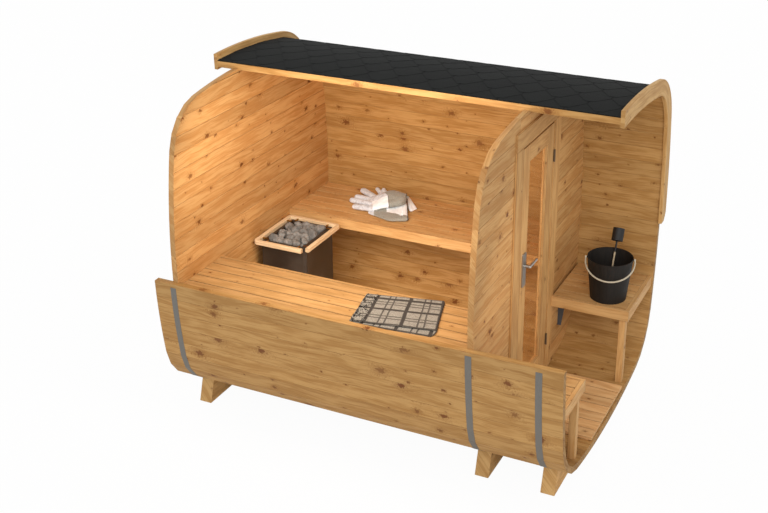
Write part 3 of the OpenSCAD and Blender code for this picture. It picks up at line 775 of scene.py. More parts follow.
@dataclass
class Timber:
    """Gathers boards into one mesh, each with its own run of grain, tone and planed edges."""

    name: str
    seed: int
    bevel: float = 1.6 * MM
    points: list = field(default_factory=list)
    faces: list = field(default_factory=list)
    ways: list = field(default_factory=list)

    def board(self, low: Sequence[float], high: Sequence[float], along: Grain) -> None:
        """Adds a straight board that fills a box, its fibres running one way."""
        shape = [(low[1], low[2]), (high[1], low[2]), (high[1], high[2]), (low[1], high[2])]
        self.prism(shape, low[0], high[0], along)

    def prism(self, shape: Sequence[Point2], start: float, stop: float, along: Grain) -> None:
        """Adds a board whose section is drawn out along X.

        Args:
            shape: The section's corners, as y and z.
            start: Where it starts along X.
            stop: Where it ends.
            along: The way its fibres run.
        """
        body = bmesh.new()
        first, last = ([body.verts.new((x, y, z)) for y, z in shape] for x in (start, stop))
        body.faces.new(first)
        body.faces.new(last)
        for k in range(len(shape)):
            n = (k + 1) % len(shape)
            body.faces.new((first[k], first[n], last[n], last[k]))
        outward(body)
        bmesh.ops.bevel(body, geom=along_fibres(body, Vector(along.value)), offset=self.bevel,
                        segments=1, affect="EDGES")
        base = len(self.points)
        body.verts.index_update()
        self.points += [v.co[:] for v in body.verts]
        self.faces += [[base + v.index for v in f.verts] for f in body.faces]
        self.ways.append(along)
        body.free()

    def done(self, finish: Material, *nodes: str, slot: str, body: str = "root") -> None:
        """Makes the piece and hands it to the frame.

        Args:
            finish: The wood.
            nodes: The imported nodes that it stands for.
            slot: The record's material slot.
            body: The body that it rides on.
        """
        mesh = bpy.data.meshes.new(self.name)
        mesh.from_pydata(self.points, [], self.faces)
        lay_grain(mesh, self.ways, self.seed)
        placed(mesh, self.name, *nodes, slot=slot, body=body, finish=finish)


def bevelled(corners: Sequence[Sequence[float]], width: float) -> list[Vector]:
    """Cuts the corners of a section.

    Args:
        corners: The corners in turn.
        width: How far from each corner it is cut.

    Returns:
        The new corners, two for each old one.
    """
    made = []
    for k, p in enumerate(corners):
        p = Vector(p)
        for q in (corners[k - 1], corners[(k + 1) % len(corners)]):
            made.append(p + (Vector(q) - p).normalized() * width)
    return made


def headings(path: Sequence[Vector]) -> list[Vector]:
    """Gives the direction of a path at each of its points."""
    last = len(path) - 1
    return [(path[min(k + 1, last)] - path[max(k - 1, 0)]).normalized() for k in range(last + 1)]


@dataclass
class Swept:
    """A bar bent along a path, with its grain along it.

    Args:
        name: The piece's name.
        frames: At each station, its origin and the two directions that the section lies in.
        low: The section's lowest corner in them.
        high: Its highest.
        bevel: Width of its bevels.
        lowest: At each station, how low the section may reach, if that differs.
    """

    name: str
    frames: Sequence[tuple[Vector, Vector, Vector]]
    low: Point2
    high: Point2
    bevel: float
    lowest: Sequence[float] = ()

    def mesh(self, seed: int) -> Mesh:
        """Builds the bar with its UV map, in metres along and round it.

        Args:
            seed: Seed of its tone and place in the wood.

        Returns:
            The mesh.
        """
        tone, (right, over) = lot(random.Random(seed))
        (p0, q0), (p1, q1) = self.low, self.high
        shape = [tuple(c) for c in bevelled(((p0, q0), (p1, q0), (p1, q1), (p0, q1)), self.bevel)]
        n, last = len(shape), len(self.frames) - 1
        around, run, points = [0.0], [0.0], []
        for a, b in zip(shape, shape[1:] + shape[:1]):
            around.append(around[-1] + math.dist(a, b))
        for k, (origin, u, v) in enumerate(self.frames):
            if k:
                run.append(run[-1] + (origin - self.frames[k - 1][0]).length)
            floor = self.lowest[k] if self.lowest else -math.inf
            points += [origin + u * p + v * max(q, floor) for p, q in shape]
        faces, uvs, marks = [], [], []
        for k in range(last):
            for j in range(n):
                i = (j + 1) % n
                faces.append((k * n + j, k * n + i, (k + 1) * n + i, (k + 1) * n + j))
                uvs += [(run[a] + right, around[b] + over)
                        for a, b in ((k, j), (k, j + 1), (k + 1, j + 1), (k + 1, j))]
                marks.append((tone, 0.0, 0.0))
        for at, order in ((0, range(n - 1, -1, -1)), (last, range(n))):
            faces.append([at * n + j for j in order])
            uvs += [(shape[j][0] + right, shape[j][1] + over) for j in order]
            marks.append((tone, 1.0, 0.0))
        mesh = bpy.data.meshes.new(self.name)
        mesh.from_pydata(points, [], faces)
        grain = mesh.uv_layers.new(name="grain")
        grain.data.foreach_set("uv", [c for uv in uvs for c in uv])
        for k, name in enumerate(WOOD_MARKS):
            layer = mesh.attributes.new(name, "FLOAT", "FACE")
            layer.data.foreach_set("value", [m[k] for m in marks])
        with opened(mesh) as body:
            outward(body)
        return mesh

    def done(self, finish: Material, *nodes: str, slot: str, seed: int) -> None:
        """Makes the piece, its tone drawn from a seed, and hands it to the frame."""
        placed(self.mesh(seed), self.name, *nodes, slot=slot, finish=finish)


# ---- Geometry Nodes ----


class Recipe(Tree):
    """A Geometry Nodes tree with named inputs, run once on a base mesh and turned into a mesh."""

    def __init__(self, name: str) -> None:
        """Starts a tree with geometry in and out and a material input.

        Args:
            name: Its name.
        """
        super().__init__(bpy.data.node_groups.new(name, "GeometryNodeTree"))
        self.tree.interface.new_socket("Geometry", in_out="OUTPUT",
                                       socket_type="NodeSocketGeometry")
        self.source = self.add("NodeGroupInput")
        self.base, = self.takes("Geometry", "Geometry")
        self.finish, = self.takes("Material", "Finish")

    def takes(self, kind: str, *names: str) -> list[Socket]:
        """Adds named inputs of one kind and returns the sockets that give their values."""
        for name in names:
            self.tree.interface.new_socket(name, in_out="INPUT", socket_type="NodeSocket" + kind)
        return [self.source.outputs[name] for name in names]

    @staticmethod
    def live(node: Node) -> Socket:
        """Finds the output that a node with several kinds of output shows."""
        return next(s for s in node.outputs if s.enabled)

    def chance(self, low: Value | Point3, high: Value | Point3, **named) -> Socket:
        """Draws a number, or three, from low to high for each point."""
        links = {"Min": low, "Max": high, **named}
        return self.live(self.add("FunctionNodeRandomValue", links, data_type=(
            "FLOAT_VECTOR" if isinstance(low, tuple) else "FLOAT")))

    def stored(self, shape: Socket, name: str, value: Socket, kind: str = "FLOAT") -> Socket:
        """Stores a value on each point under a name and returns the geometry."""
        links = {"Geometry": shape, "Name": name, "Value": value}
        return self.add("GeometryNodeStoreNamedAttribute", links, data_type=kind,
                        domain="POINT").outputs[0]

    def recalled(self, name: str, kind: str = "FLOAT") -> Socket:
        """Gives a value that was stored on each point."""
        links = {"Name": name}
        return self.live(self.add("GeometryNodeInputNamedAttribute", links, data_type=kind))

    def position(self) -> Socket:
        """Gives each point's place."""
        return self.add("GeometryNodeInputPosition").outputs[0]

    def index(self) -> Socket:
        """Gives each point's number."""
        return self.add("GeometryNodeInputIndex").outputs[0]

    def moved(self, shape: Socket, **where) -> Socket:
        """Moves each point to a Position or by an Offset and returns the geometry."""
        return self.add("GeometryNodeSetPosition", {"Geometry": shape, **where}).outputs[0]

    def laid(self, points: Socket, thing: Socket, **turns) -> Socket:
        """Lays a copy of a thing on each point, turned and scaled, and returns them as one."""
        copies = self.add("GeometryNodeInstanceOnPoints",
                          {"Points": points, "Instance": thing, **turns}).outputs[0]
        return self.add("GeometryNodeRealizeInstances", {0: copies}).outputs[0]

    def drawn_out(self, sheet: Socket, offset: Socket) -> Socket:
        """Draws a sheet out into a closed body.

        Args:
            sheet: The sheet.
            offset: How far and which way it is drawn.

        Returns:
            The body.
        """
        links = {"Mesh": sheet, "Offset": offset, "Individual": False}
        drawn = self.add("GeometryNodeExtrudeMesh", links).outputs["Mesh"]
        back = self.add("GeometryNodeFlipFaces", {0: sheet}).outputs[0]
        both = self.add("GeometryNodeJoinGeometry")
        for part in (back, drawn):
            self.tree.links.new(part, both.inputs[0])
        links = {"Geometry": both.outputs[0], "Distance": 0.02 * MM}
        return self.add("GeometryNodeMergeByDistance", links).outputs[0]

    def ends(self, shape: Socket) -> "Recipe":
        """Closes the tree: instances are made real and the material is set.

        Args:
            shape: What the tree gives.

        Returns:
            The tree itself.
        """
        real = self.add("GeometryNodeRealizeInstances", {0: shape}).outputs[0]
        links = {"Geometry": real, "Material": self.finish}
        self.add("NodeGroupOutput", {0: self.add("GeometryNodeSetMaterial", links).outputs[0]})
        return self

    def mesh(self, name: str, base: Mesh | None, values: dict, bevel: float = 0.0) -> Mesh:
        """Runs the tree and returns its result as a plain mesh.

        Args:
            name: The mesh's name.
            base: The mesh that the tree starts from, if it needs one.
            values: Input name to value.
            bevel: Width of the bevel put on the result's sharp edges.

        Returns:
            The finished mesh, with the modifiers gone.
        """
        carrier = bpy.data.objects.new(name, base or bpy.data.meshes.new(name))
        bpy.context.scene.collection.objects.link(carrier)
        run = carrier.modifiers.new("recipe", "NODES")
        run.node_group = self.tree
        for item in self.tree.interface.items_tree:
            if item.in_out == "INPUT" and item.name in values:
                run[item.identifier] = values[item.name]
        if bevel:
            edge = carrier.modifiers.new("edges", "BEVEL")
            edge.width, edge.segments, edge.limit_method = bevel, 2, "ANGLE"
        return baked(carrier, name)


def baked(carrier: Object, name: str) -> Mesh:
    """Turns an object with modifiers into a plain mesh and removes the object.

    Args:
        carrier: The object.
        name: The mesh's name.

    Returns:
        The mesh.
    """
    graph = bpy.context.evaluated_depsgraph_get()
    result = bpy.data.meshes.new_from_object(
        carrier.evaluated_get(graph), preserve_all_data_layers=True, depsgraph=graph)
    result.name = name
    bpy.data.objects.remove(carrier)
    return result


def points_mesh(name: str, points: Sequence[Sequence[float]]) -> Mesh:
    """Makes a mesh of loose points for a recipe to start from.

    Args:
        name: Its name.
        points: The points.

    Returns:
        The mesh.
    """
    mesh = bpy.data.meshes.new(name)
    mesh.from_pydata(points, [], [])
    return mesh


def stave_recipe() -> Recipe:
    """Makes staves: each face of the base mesh is drawn out along X by the input Length."""
    r = Recipe("staves")
    return r.ends(r.drawn_out(r.base, r.joined(*r.takes("Float", "Length"))))


def slat_recipe() -> Recipe:
    """A row of like boards.

    Returns:
        The tree, with the inputs Count, Start, Pitch and Size.
    """
    r = Recipe("slats")
    count, = r.takes("Int", "Count")
    start, pitch, size = r.takes("Vector", "Start", "Pitch", "Size")
    links = {"Count": count, "Start Location": start, "Offset": pitch}
    line = r.add("GeometryNodeMeshLine", links).outputs[0]
    return r.ends(r.laid(line, r.add("GeometryNodeMeshCube", {"Size": size}).outputs[0]))


@dataclass(frozen=True)
class Row:
    """A row of like boards that lie side by side across the sauna, with a gap between two."""

    board: float
    gap: float
    bevel: float
    narrow_mm: float

    def build(self, recipe: Recipe, node: str, wood: Material, seed: int,
              thick: float | None = None) -> None:
        """Fills a node's box from its near side, flush with its top.

        Args:
            recipe: The tree that lays the boards.
            node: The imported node.
            wood: The wood.
            seed: Seed of the boards' tones.
            thick: Their thickness, if less than the box's height.
        """
        low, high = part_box(node)
        thick = thick or high.z - low.z
        pitch = self.board + self.gap
        values = {"Count": round((high.y - low.y + self.gap) / pitch), "Pitch": (0.0, pitch, 0.0),
                  "Start": ((low.x + high.x) / 2, low.y + self.board / 2, high.z - thick / 2),
                  "Size": (high.x - low.x, self.board, thick), "Finish": wood}
        mesh = recipe.mesh(node + "_boards", None, values, bevel=self.bevel)
        lay_grain(mesh, (Grain.X,), seed, self.narrow_mm)
        placed(mesh, node + "_boards", node, slot="bench_wood")


# ---- Shell ----


@dataclass(frozen=True)
class Outline:
    """The rounded square that the staves follow: four gentle arcs and four corners, all tangent."""

    width: float = 2.030
    height: float = 2.100
    corner_r: float = 0.370
    bulge_r: float = 3.950
    n_side: int = 13
    n_top: int = 14
    n_corner: int = 4
    stave: float = 0.042
    middle: Point2 = (-0.02175, 1.150)

    @property
    def marks(self) -> tuple[int, int, int, int]:
        """Counts the joints round the outline.

        Returns:
            Where the roof, the near side and the bottom start, and how many there are in all.
        """
        roof = self.n_side + self.n_corner
        near = roof + self.n_top + self.n_corner
        bottom = near + self.n_side + self.n_corner
        return roof, near, bottom, bottom + self.n_top + self.n_corner

    def joint(self, i: float, depth: float) -> Point2:
        """Gives a point on a joint between two staves.

        Args:
            i: The joint's number, round from the lower end of the rear side over the roof.
            depth: How far it lies inside the staves' outer face.

        Returns:
            The point's y and z.
        """
        side_c, top_c = self.width / 2 - self.bulge_r, self.height / 2 - self.bulge_r
        span = math.hypot(side_c, top_c)
        rise = math.sqrt((self.bulge_r - self.corner_r) ** 2 - (span / 2) ** 2)
        cy, cz = side_c / 2 - rise * top_c / span, top_c / 2 - rise * side_c / span
        side_a, top_a = math.atan2(cz, cy - side_c), math.atan2(cy, cz - top_c)
        right = math.pi / 2
        corner_a = right - side_a - top_a
        roof, near, bottom, whole = self.marks
        side, top = (self.bulge_r, -side_a, 2 * side_a), (self.bulge_r, -top_a, 2 * top_a)
        after_side, after_top = (self.corner_r, side_a, corner_a), (self.corner_r, top_a, corner_a)
        # Each arc: its last joint, its centre, its radius, start and turn, and its quarter.
        arcs = ((self.n_side, (side_c, 0.0), side, 0), (roof, (cy, cz), after_side, 0),
                (roof + self.n_top, (0.0, top_c), top, 1), (near, (-cy, cz), after_top, 1),
                (near + self.n_side, (-side_c, 0.0), side, 2), (bottom, (-cy, -cz), after_side, 2),
                (bottom + self.n_top, (0.0, -top_c), top, 3), (whole, (cy, -cz), after_top, 3))
        while i > whole:
            i -= whole
        low = 0
        for high, centre, (radius, start, turn), quarter in arcs:
            if i <= high:
                a = quarter * right + start + turn * (i - low) / (high - low)
                return (self.middle[0] + centre[0] + (radius - depth) * math.cos(a),
                        self.middle[1] + centre[1] + (radius - depth) * math.sin(a))
            low = high
        raise ValueError(f"no joint {i}")

    def ring(self) -> list[Point2]:
        """Gives the staves' whole inner face, as a closed row of points."""
        return [self.joint(i, self.stave) for i in range(1, self.marks[3] + 1)]

    def meets(self, axis: int, at: float) -> list[float]:
        """Finds where the staves' inner face is at a place on one axis.

        Args:
            axis: 0 where y is given and 1 where z is.
            at: The given place.

        Returns:
            The places on the other axis.
        """
        ring = self.ring()
        found = []
        for p, q in zip(ring, ring[1:] + ring[:1]):
            (a0, b0), (a1, b1) = (p, q) if axis == 0 else (p[::-1], q[::-1])
            if min(a0, a1) <= at <= max(a0, a1) and a0 != a1:
                found.append(b0 + (b1 - b0) * (at - a0) / (a1 - a0))
        return found


@dataclass
class Shell:
    """Staves of the shell and the two arched trim boards."""

    outline: Outline
    seam: float = 1.5 * MM
    gap: float = 0.1 * MM
    trim_proud: float = 0.0446
    trim_deep: float = 0.060
    trim_chamfer: float = 0.045
    trim_from: int = 6
    trim_to: int = 26

    def staves(self, recipe: Recipe, node: str, first: int, last: int, finish: Material) -> None:
        """Makes one stretch of staves.

        Args:
            recipe: The tree that draws the sections out.
            node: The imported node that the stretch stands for.
            first: Its first joint.
            last: Its last joint.
            finish: The wood.
        """
        low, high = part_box(node)
        points: list[Point3] = []
        faces: list[Sequence[int]] = []
        for i in range(first, last):
            corners = ((i, 0), (i + 1, 0), (i + 1, self.outline.stave), (i, self.outline.stave))
            quad = [Vector(self.outline.joint(j, depth)) for j, depth in corners]
            for a, b in ((0, 1), (3, 2)):
                way = (quad[b] - quad[a]).normalized() * self.gap
                quad[a], quad[b] = quad[a] + way, quad[b] - way
            section = [(low.x, p.x, p.y) for p in bevelled(quad, self.seam)]
            faces.append(range(len(points), len(points) + len(section)))
            points += section
        base = bpy.data.meshes.new(node)
        base.from_pydata(points, [], faces)
        name = node + "_staves"
        mesh = recipe.mesh(name, base, {"Length": high.x - low.x, "Finish": finish})
        with opened(mesh) as body:
            outward(body)
        lay_grain(mesh, (Grain.X,), seed=first)
        placed(mesh, name, node, slot="stave_wood")

    def trim(self, node: str, finish: Material) -> None:
        """Makes one arched board, bent from the low end at the rear over the roof to the cut.

        Args:
            node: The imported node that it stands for.
            finish: The wood.
        """
        low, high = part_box(node)
        frames, lowest = [], []
        for k in range(4 * (self.trim_to - self.trim_from) + 1):
            i = self.trim_from + 0.25 * k
            (y, z), (deep_y, deep_z) = (self.outline.joint(i, depth) for depth in (0, 1.0))
            inward = Vector((0, deep_y - y, deep_z - z)).normalized()
            frames.append((Vector((0, y, z)), RIGHT, inward))
            # The low end at the rear is cut off at a slant.
            run = (frames[-1][0] - frames[0][0]).length
            lowest.append(-self.trim_proud + max(0.0, self.trim_chamfer - run))
        board = Swept(node + "_board", frames, (low.x, -self.trim_proud), (high.x, self.trim_deep),
                      bevel=2.0 * MM, lowest=lowest)
        board.done(finish, node, slot="stave_wood", seed=3)

    def build(self, stave: Material, trim: Material) -> None:
        """Makes the four stretches of staves and both trims.

        Args:
            stave: The staves' wood.
            trim: The trims' wood.
        """
        recipe = stave_recipe()
        for side, first, last in (("near_side", 43, 50), ("bottom", 50, 68), ("back", 68, 85),
                                  ("roof", 15, 26)):
            self.staves(recipe, "shell_" + side, first, last, stave)
        for node in ("trim_left", "trim_right"):
            self.trim(node, trim)


# ---- Roof ----


def shingle_recipe() -> Recipe:
    """Six-sided shingle tabs laid in rows along a profile curve.

    The base mesh is the roof's profile as a line. Each tab is a grid with a narrowed lower
    end, thickened, set out in rows and then bent onto the profile.

    Returns:
        The tree, with an input for each count and size that it takes below.
    """
    r = Recipe("shingles")
    rows, columns = r.takes("Int", "Rows", "Columns")
    sizes = r.takes("Float", "First row", "First column", "Exposure", "Pitch", "Gap", "Tab",
                    "Slope", "Flat", "Thickness", "Wedge", "Side")
    first_row, first_column, exposure, pitch, gap, length, slope, flat, thick, wedge, side = sizes
    # One tab: x runs across, y up the slope from its lower edge.
    width = r.less(pitch, gap)
    grid = r.add("GeometryNodeMeshGrid", {"Size X": width, "Size Y": length, "Vertices X": 13,
                                          "Vertices Y": 11}).outputs[0]
    x, y, _ = r.parts(r.position())
    up = r.maths("ADD", y, r.times(length, 0.5))
    # The left-hand cut edge gets a painted shadow line, and the lower edge half of one.
    left = r.maths("LESS_THAN", x, r.times(width, -0.49))
    lower = r.times(r.maths("LESS_THAN", up, 1.0 * MM), 0.5)
    grid = r.stored(grid, "edge", r.maths("MAXIMUM", left, lower))
    share = r.add("ShaderNodeMapRange", {"Value": up, "From Min": 0.0, "From Max": slope,
                                         "To Min": flat, "To Max": 1.0}).outputs[0]
    tab = r.moved(grid, Position=r.joined(r.times(x, share), up))
    tab = r.drawn_out(tab, r.joined(0.0, 0.0, thick))
    # The rows: every second one is moved by half a tab.
    spots = r.add("GeometryNodePoints", {"Count": r.times(rows, columns)}).outputs[0]
    index = r.index()
    row = r.maths("FLOOR", r.maths("DIVIDE", r.maths("ADD", index, 0.5), columns))
    column = r.less(index, r.times(row, columns))
    column = r.maths("MULTIPLY_ADD", r.maths("MODULO", row, 2.0), 0.5, column)
    at = r.joined(r.maths("MULTIPLY_ADD", column, pitch, first_column),
                  r.maths("MULTIPLY_ADD", row, exposure, first_row))
    spots = r.moved(spots, Position=at)
    spots = r.stored(spots, "tone", r.chance(0.0, 1.0, ID=index, Seed=4))
    spots = r.stored(spots, "low", r.position(), "FLOAT_VECTOR")
    tabs = r.laid(spots, tab)
    # Bend the rows onto the profile. A tab's lower edge lies on the row below it.
    curve = r.add("GeometryNodeMeshToCurve", {0: r.base}).outputs[0]
    x, y, z = r.parts(r.position())
    rise = r.less(y, r.parts(r.recalled("low", "FLOAT_VECTOR"))[1])
    left_over = r.less(1.0, r.maths("DIVIDE", rise, length))
    height = r.maths("ADD", z, r.times(wedge, left_over))
    sample = r.add("GeometryNodeSampleCurve", {"Curves": curve, "Length": y}, mode="LENGTH",
                   data_type="FLOAT").outputs
    normal = r.vector("CROSS_PRODUCT", (1.0, 0.0, 0.0), sample["Tangent"])
    out = r.vector("SCALE", normal, Scale=r.times(height, side))
    bent = r.vector("ADD", r.vector("ADD", sample["Position"], out), r.joined(x))
    return r.ends(r.moved(tabs, Position=bent))


@dataclass
class Roof:
    """The bitumen cover: an underlay sheet and two slopes of six-sided tabs."""

    outline: Outline
    first: int = 6
    last: int = 26
    change: int = 15
    underlay_from: float = 0.1 * MM
    underlay_to: float = 1.5 * MM
    exposure: float = 0.150
    pitch: float = 0.203
    tab: float = 0.256
    tab_gap: float = 3.0 * MM
    slope: float = 0.103
    flat: float = 0.25
    thickness: float = 2.2 * MM
    wedge: float = 2.4 * MM
    row_at_cut: float = -0.113

    def profile(self, low: int, high: int, depth: float) -> list[Vector]:
        """Gives the roof's outline between two joints, as points at x = 0."""
        step = 1 if high > low else -1
        return [Vector((0, *self.outline.joint(i, depth))) for i in range(low, high + step, step)]

    def underlay(self, finish: Material) -> None:
        """Makes the sheet that the tabs lie on.

        Args:
            finish: The felt.
        """
        low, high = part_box("roof_cover")
        path = self.profile(self.first, self.last, 0.0)
        frames = [(p, RIGHT, way.cross(RIGHT)) for p, way in zip(path, headings(path))]
        sheet = Swept("roof_underlay", frames, (low.x, self.underlay_from),
                      (high.x, self.underlay_to), bevel=0.2 * MM)
        sheet.done(finish, "roof_cover", slot="shingle", seed=2)

    def tabs(self, recipe: Recipe, name: str, lowest: int, side: float, finish: Material) -> None:
        """Lays one slope of tabs.

        Args:
            recipe: The tree that lays them.
            name: The piece's name.
            lowest: The joint at the slope's lower end.
            side: 1 where the profile runs to the front, -1 where it runs to the rear.
            finish: The felt.
        """
        low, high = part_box("roof_cover")
        path = self.profile(lowest, self.change, -self.underlay_to)
        base = bpy.data.meshes.new(name)
        base.from_pydata(path, [(k, k + 1) for k in range(len(path) - 1)], [])
        length = sum((b - a).length for a, b in zip(path, path[1:]))
        start = self.row_at_cut if side > 0 else 0.0
        values = {"Rows": math.ceil((length - start) / self.exposure),
                  "Columns": math.ceil((high.x - low.x) / self.pitch) + 2,
                  "First row": start, "First column": low.x - self.pitch,
                  "Exposure": self.exposure, "Pitch": self.pitch, "Gap": self.tab_gap,
                  "Tab": self.tab, "Slope": self.slope, "Flat": self.flat,
                  "Thickness": self.thickness, "Wedge": self.wedge, "Side": side,
                  "Finish": finish}
        mesh = recipe.mesh(name, base, values)
        # What hangs over the cover's ends, and past the cut at the front, is cut off and closed.
        ends = [(RIGHT * low.x, -RIGHT), (RIGHT * high.x, RIGHT)]
        if side > 0:
            ends.append((path[0], (path[0] - path[1]).normalized()))
        with opened(mesh) as body:
            for at, way in ends:
                edges = cut_open(body, at, way, clear_outer=True)
                bmesh.ops.holes_fill(body, edges=[e for e in edges if e.is_boundary])
            outward(body)
        placed(mesh, name, slot="shingle")

    def build(self, finish: Material) -> None:
        """Makes the whole cover.

        Args:
            finish: The felt.
        """
        self.underlay(finish)
        recipe = shingle_recipe()
        self.tabs(recipe, "shingles_front", self.last, 1.0, finish)
        self.tabs(recipe, "shingles_rear", self.first, -1.0, finish)


# ---- Walls and joinery ----


@dataclass
class Sawn:
    """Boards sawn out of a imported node: cut across Z, with planed edges and grain along Y.

    Faces that meet at an angle of less than flat, in degrees, are made one, and edges that bend
    more than sharp, in radians, are planed.
    """

    node: str
    slot: str
    seed: int
    cuts: Sequence[float] = ()
    bevel: float = 2.0 * MM
    flat: float = 0.4
    sharp: float = 0.8

    def build(self, finish: Material) -> None:
        """Saws, planes and dresses the boards.

        Args:
            finish: The wood.
        """
        name = self.node + "_boards"
        mesh = bpy.data.meshes.new(name)
        with opened(mesh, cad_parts[self.node].data) as body:
            bmesh.ops.remove_doubles(body, verts=body.verts, dist=0.01 * MM)
            bmesh.ops.dissolve_limit(body, angle_limit=math.radians(self.flat), verts=body.verts,
                                     edges=body.edges)
            for z in self.cuts:
                bmesh.ops.split_edges(body, edges=cut_open(body, UP * z, UP))
                bmesh.ops.holes_fill(body, edges=[e for e in body.edges if e.is_boundary])
            planed = [e for e in along_fibres(body, Vector(Grain.Y.value))
                      if len(e.link_faces) == 2 and e.calc_face_angle(0.0) > self.sharp]
            bmesh.ops.bevel(body, geom=planed, offset=self.bevel, segments=1, affect="EDGES")
            outward(body)
        lay_grain(mesh, (Grain.Y,), self.seed)
        placed(mesh, name, self.node, slot=self.slot, finish=finish)


@dataclass
class Walls:
    """End wall and partition of boards laid across the room."""

    board: float = 0.108
    first: float = 0.195
    least: float = 0.02
    nodes: tuple[str, ...] = ("end_wall", "partition_near", "partition_rear", "partition_head",
                              "partition_sill")

    def build(self, finish: Material) -> None:
        """Makes every wall panel, with its boards' joints at the same heights.

        Args:
            finish: The wall wood.
        """
        for k, node in enumerate(self.nodes):
            low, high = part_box(node)
            cuts, z = [], self.first
            while z < high.z - self.least:
                if z > low.z + self.least:
                    cuts.append(z)
                z += self.board
            Sawn(node, "wall_wood", 20 + k, cuts).build(finish)


@dataclass
class Doorway:
    """Door frame, the boards round it, and the door's stiles, rails and glass."""

    stile: float = 0.110
    bottom_rail: float = 0.150
    stop: float = 0.015
    leaf_gap: float = 0.007
    board: float = 0.110

    @staticmethod
    def ring(timber: Timber, x: Point2, outer: Sequence[float], inner: Sequence[float]) -> None:
        """Adds two posts and a rail over and under an opening.

        Args:
            timber: The mesh that takes the boards.
            x: Where they start and end along X.
            outer: Lowest y, highest y, lowest z and highest z outside.
            inner: The same of the opening.
        """
        (y0, y1, z0, z1), (i0, i1, k0, k1) = outer, inner
        timber.board((x[0], y0, z0), (x[1], i0, z1), Grain.Z)
        timber.board((x[0], i1, z0), (x[1], y1, z1), Grain.Z)
        if k0 > z0:
            timber.board((x[0], i0, z0), (x[1], i1, k0), Grain.Y)
        if k1 < z1:
            timber.board((x[0], i0, k1), (x[1], i1, z1), Grain.Y)

    def build(self, wood: Material) -> None:
        """Makes the frame, the boards and the leaf.

        Args:
            wood: The joinery wood.
        """
        low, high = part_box("door_leaf")
        f_low, f_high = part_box("door_frame")
        b_low, b_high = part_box("door_boards")
        gap, stop = self.leaf_gap, self.stop
        hole = (low.y - gap, high.y + gap, low.z - gap, high.z + gap)
        timber = Timber("door_frame_boards", seed=31, bevel=1.2 * MM)
        self.ring(timber, (f_low.x, f_high.x), (f_low.y, f_high.y, f_low.z, f_high.z), hole)
        inner = (hole[0] + stop, hole[1] - stop, hole[2] + stop, hole[3] - stop)
        self.ring(timber, (f_low.x, low.x - gap), hole, inner)
        timber.done(wood, "door_frame", slot="door_wood")
        boards = Timber("door_cover_boards", seed=32, bevel=2.0 * MM)
        y0, y1, top = b_low.y + self.board, b_high.y - self.board, b_high.z - self.board
        boards.board(b_low, (b_high.x, y0, top), Grain.Z)
        boards.board((b_low.x, y1, b_low.z), (b_high.x, b_high.y, top), Grain.Z)
        boards.board((b_low.x, b_low.y, top), b_high, Grain.Y)
        boards.done(wood, "door_boards", slot="door_wood")
        leaf = Timber("door_stiles_and_rails", seed=33, bevel=2.0 * MM)
        inner = (low.y + self.stile, high.y - self.stile, low.z + self.bottom_rail,
                 high.z - self.stile)
        self.ring(leaf, (low.x, high.x), (low.y, high.y, low.z, high.z), inner)
        leaf.done(wood, "door_leaf", slot="door_wood", body="door")


# ---- Benches and floors ----


@dataclass
class Bench:
    """One bench: slats on bearers behind a front board, and at an open end an end board and a leg.

    Its side is 1 at the rear and -1 on the near side, and its node names start with its place.
    """

    place: str
    outline: Outline
    side: int
    open_end: bool = False
    slats: Row = Row(board=0.086, gap=0.006, bevel=3.0 * MM, narrow_mm=3.5)
    fascia: float = 0.022
    fascia_h: float = 0.075
    bearer: float = 0.045
    bearer_h: float = 0.047
    end_board: float = 0.028
    leg_inset: float = 0.022
    wall_gap: float = 1.0 * MM

    def build(self, recipe: Recipe, wood: Material, seed: int) -> None:
        """Makes the slats, the front board, the bearers and what an open end has.

        Args:
            recipe: The tree that lays the slats.
            wood: The bench wood.
            seed: Seed of the boards' tones.
        """
        self.slats.build(recipe, self.place + "_slats", wood, seed)
        slats_low, slats_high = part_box(self.place + "_slats")
        top, under = slats_high.z, slats_low.z
        node = self.place + "_frame"
        low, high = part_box(node)
        timber = Timber(node + "_boards", seed + 1, bevel=2.5 * MM)
        front = low.y if self.side > 0 else high.y
        back = front + self.side * self.fascia
        timber.board((low.x, min(front, back), top - self.fascia_h),
                     (high.x, max(front, back), top), Grain.X)

        def across(x0: float, x1: float, z0: float, z1: float) -> None:
            """Adds a board from the front board back to the staves, where it is narrowest.

            Args:
                x0: Where it starts along X.
                x1: Where it ends.
                z0: Its lower face.
                z1: Its upper face.
            """
            walls = self.outline.meets(1, z0 if z0 > self.outline.middle[1] else z1)
            wall = (max(walls) if self.side > 0 else min(walls)) - self.side * self.wall_gap
            timber.board((x0, min(back, wall), z0), (x1, max(back, wall), z1), Grain.Y)

        if self.open_end:
            leg = high.x - self.leg_inset - self.bearer
            places = [low.x, leg]
            near, far = sorted((back, back + self.side * self.bearer))
            foot = min(self.outline.meets(0, back + self.side * self.bearer / 2))
            timber.board((leg, near, foot), (leg + self.bearer, far, under - self.bearer_h),
                         Grain.Z)
            across(high.x - self.end_board, high.x, top - self.fascia_h, top)
        else:
            places = [low.x, (low.x + high.x - self.bearer) / 2, high.x - self.bearer]
        for x in places:
            across(x, x + self.bearer, under - self.bearer_h, under)
        timber.done(wood, node, slot="bench_wood")


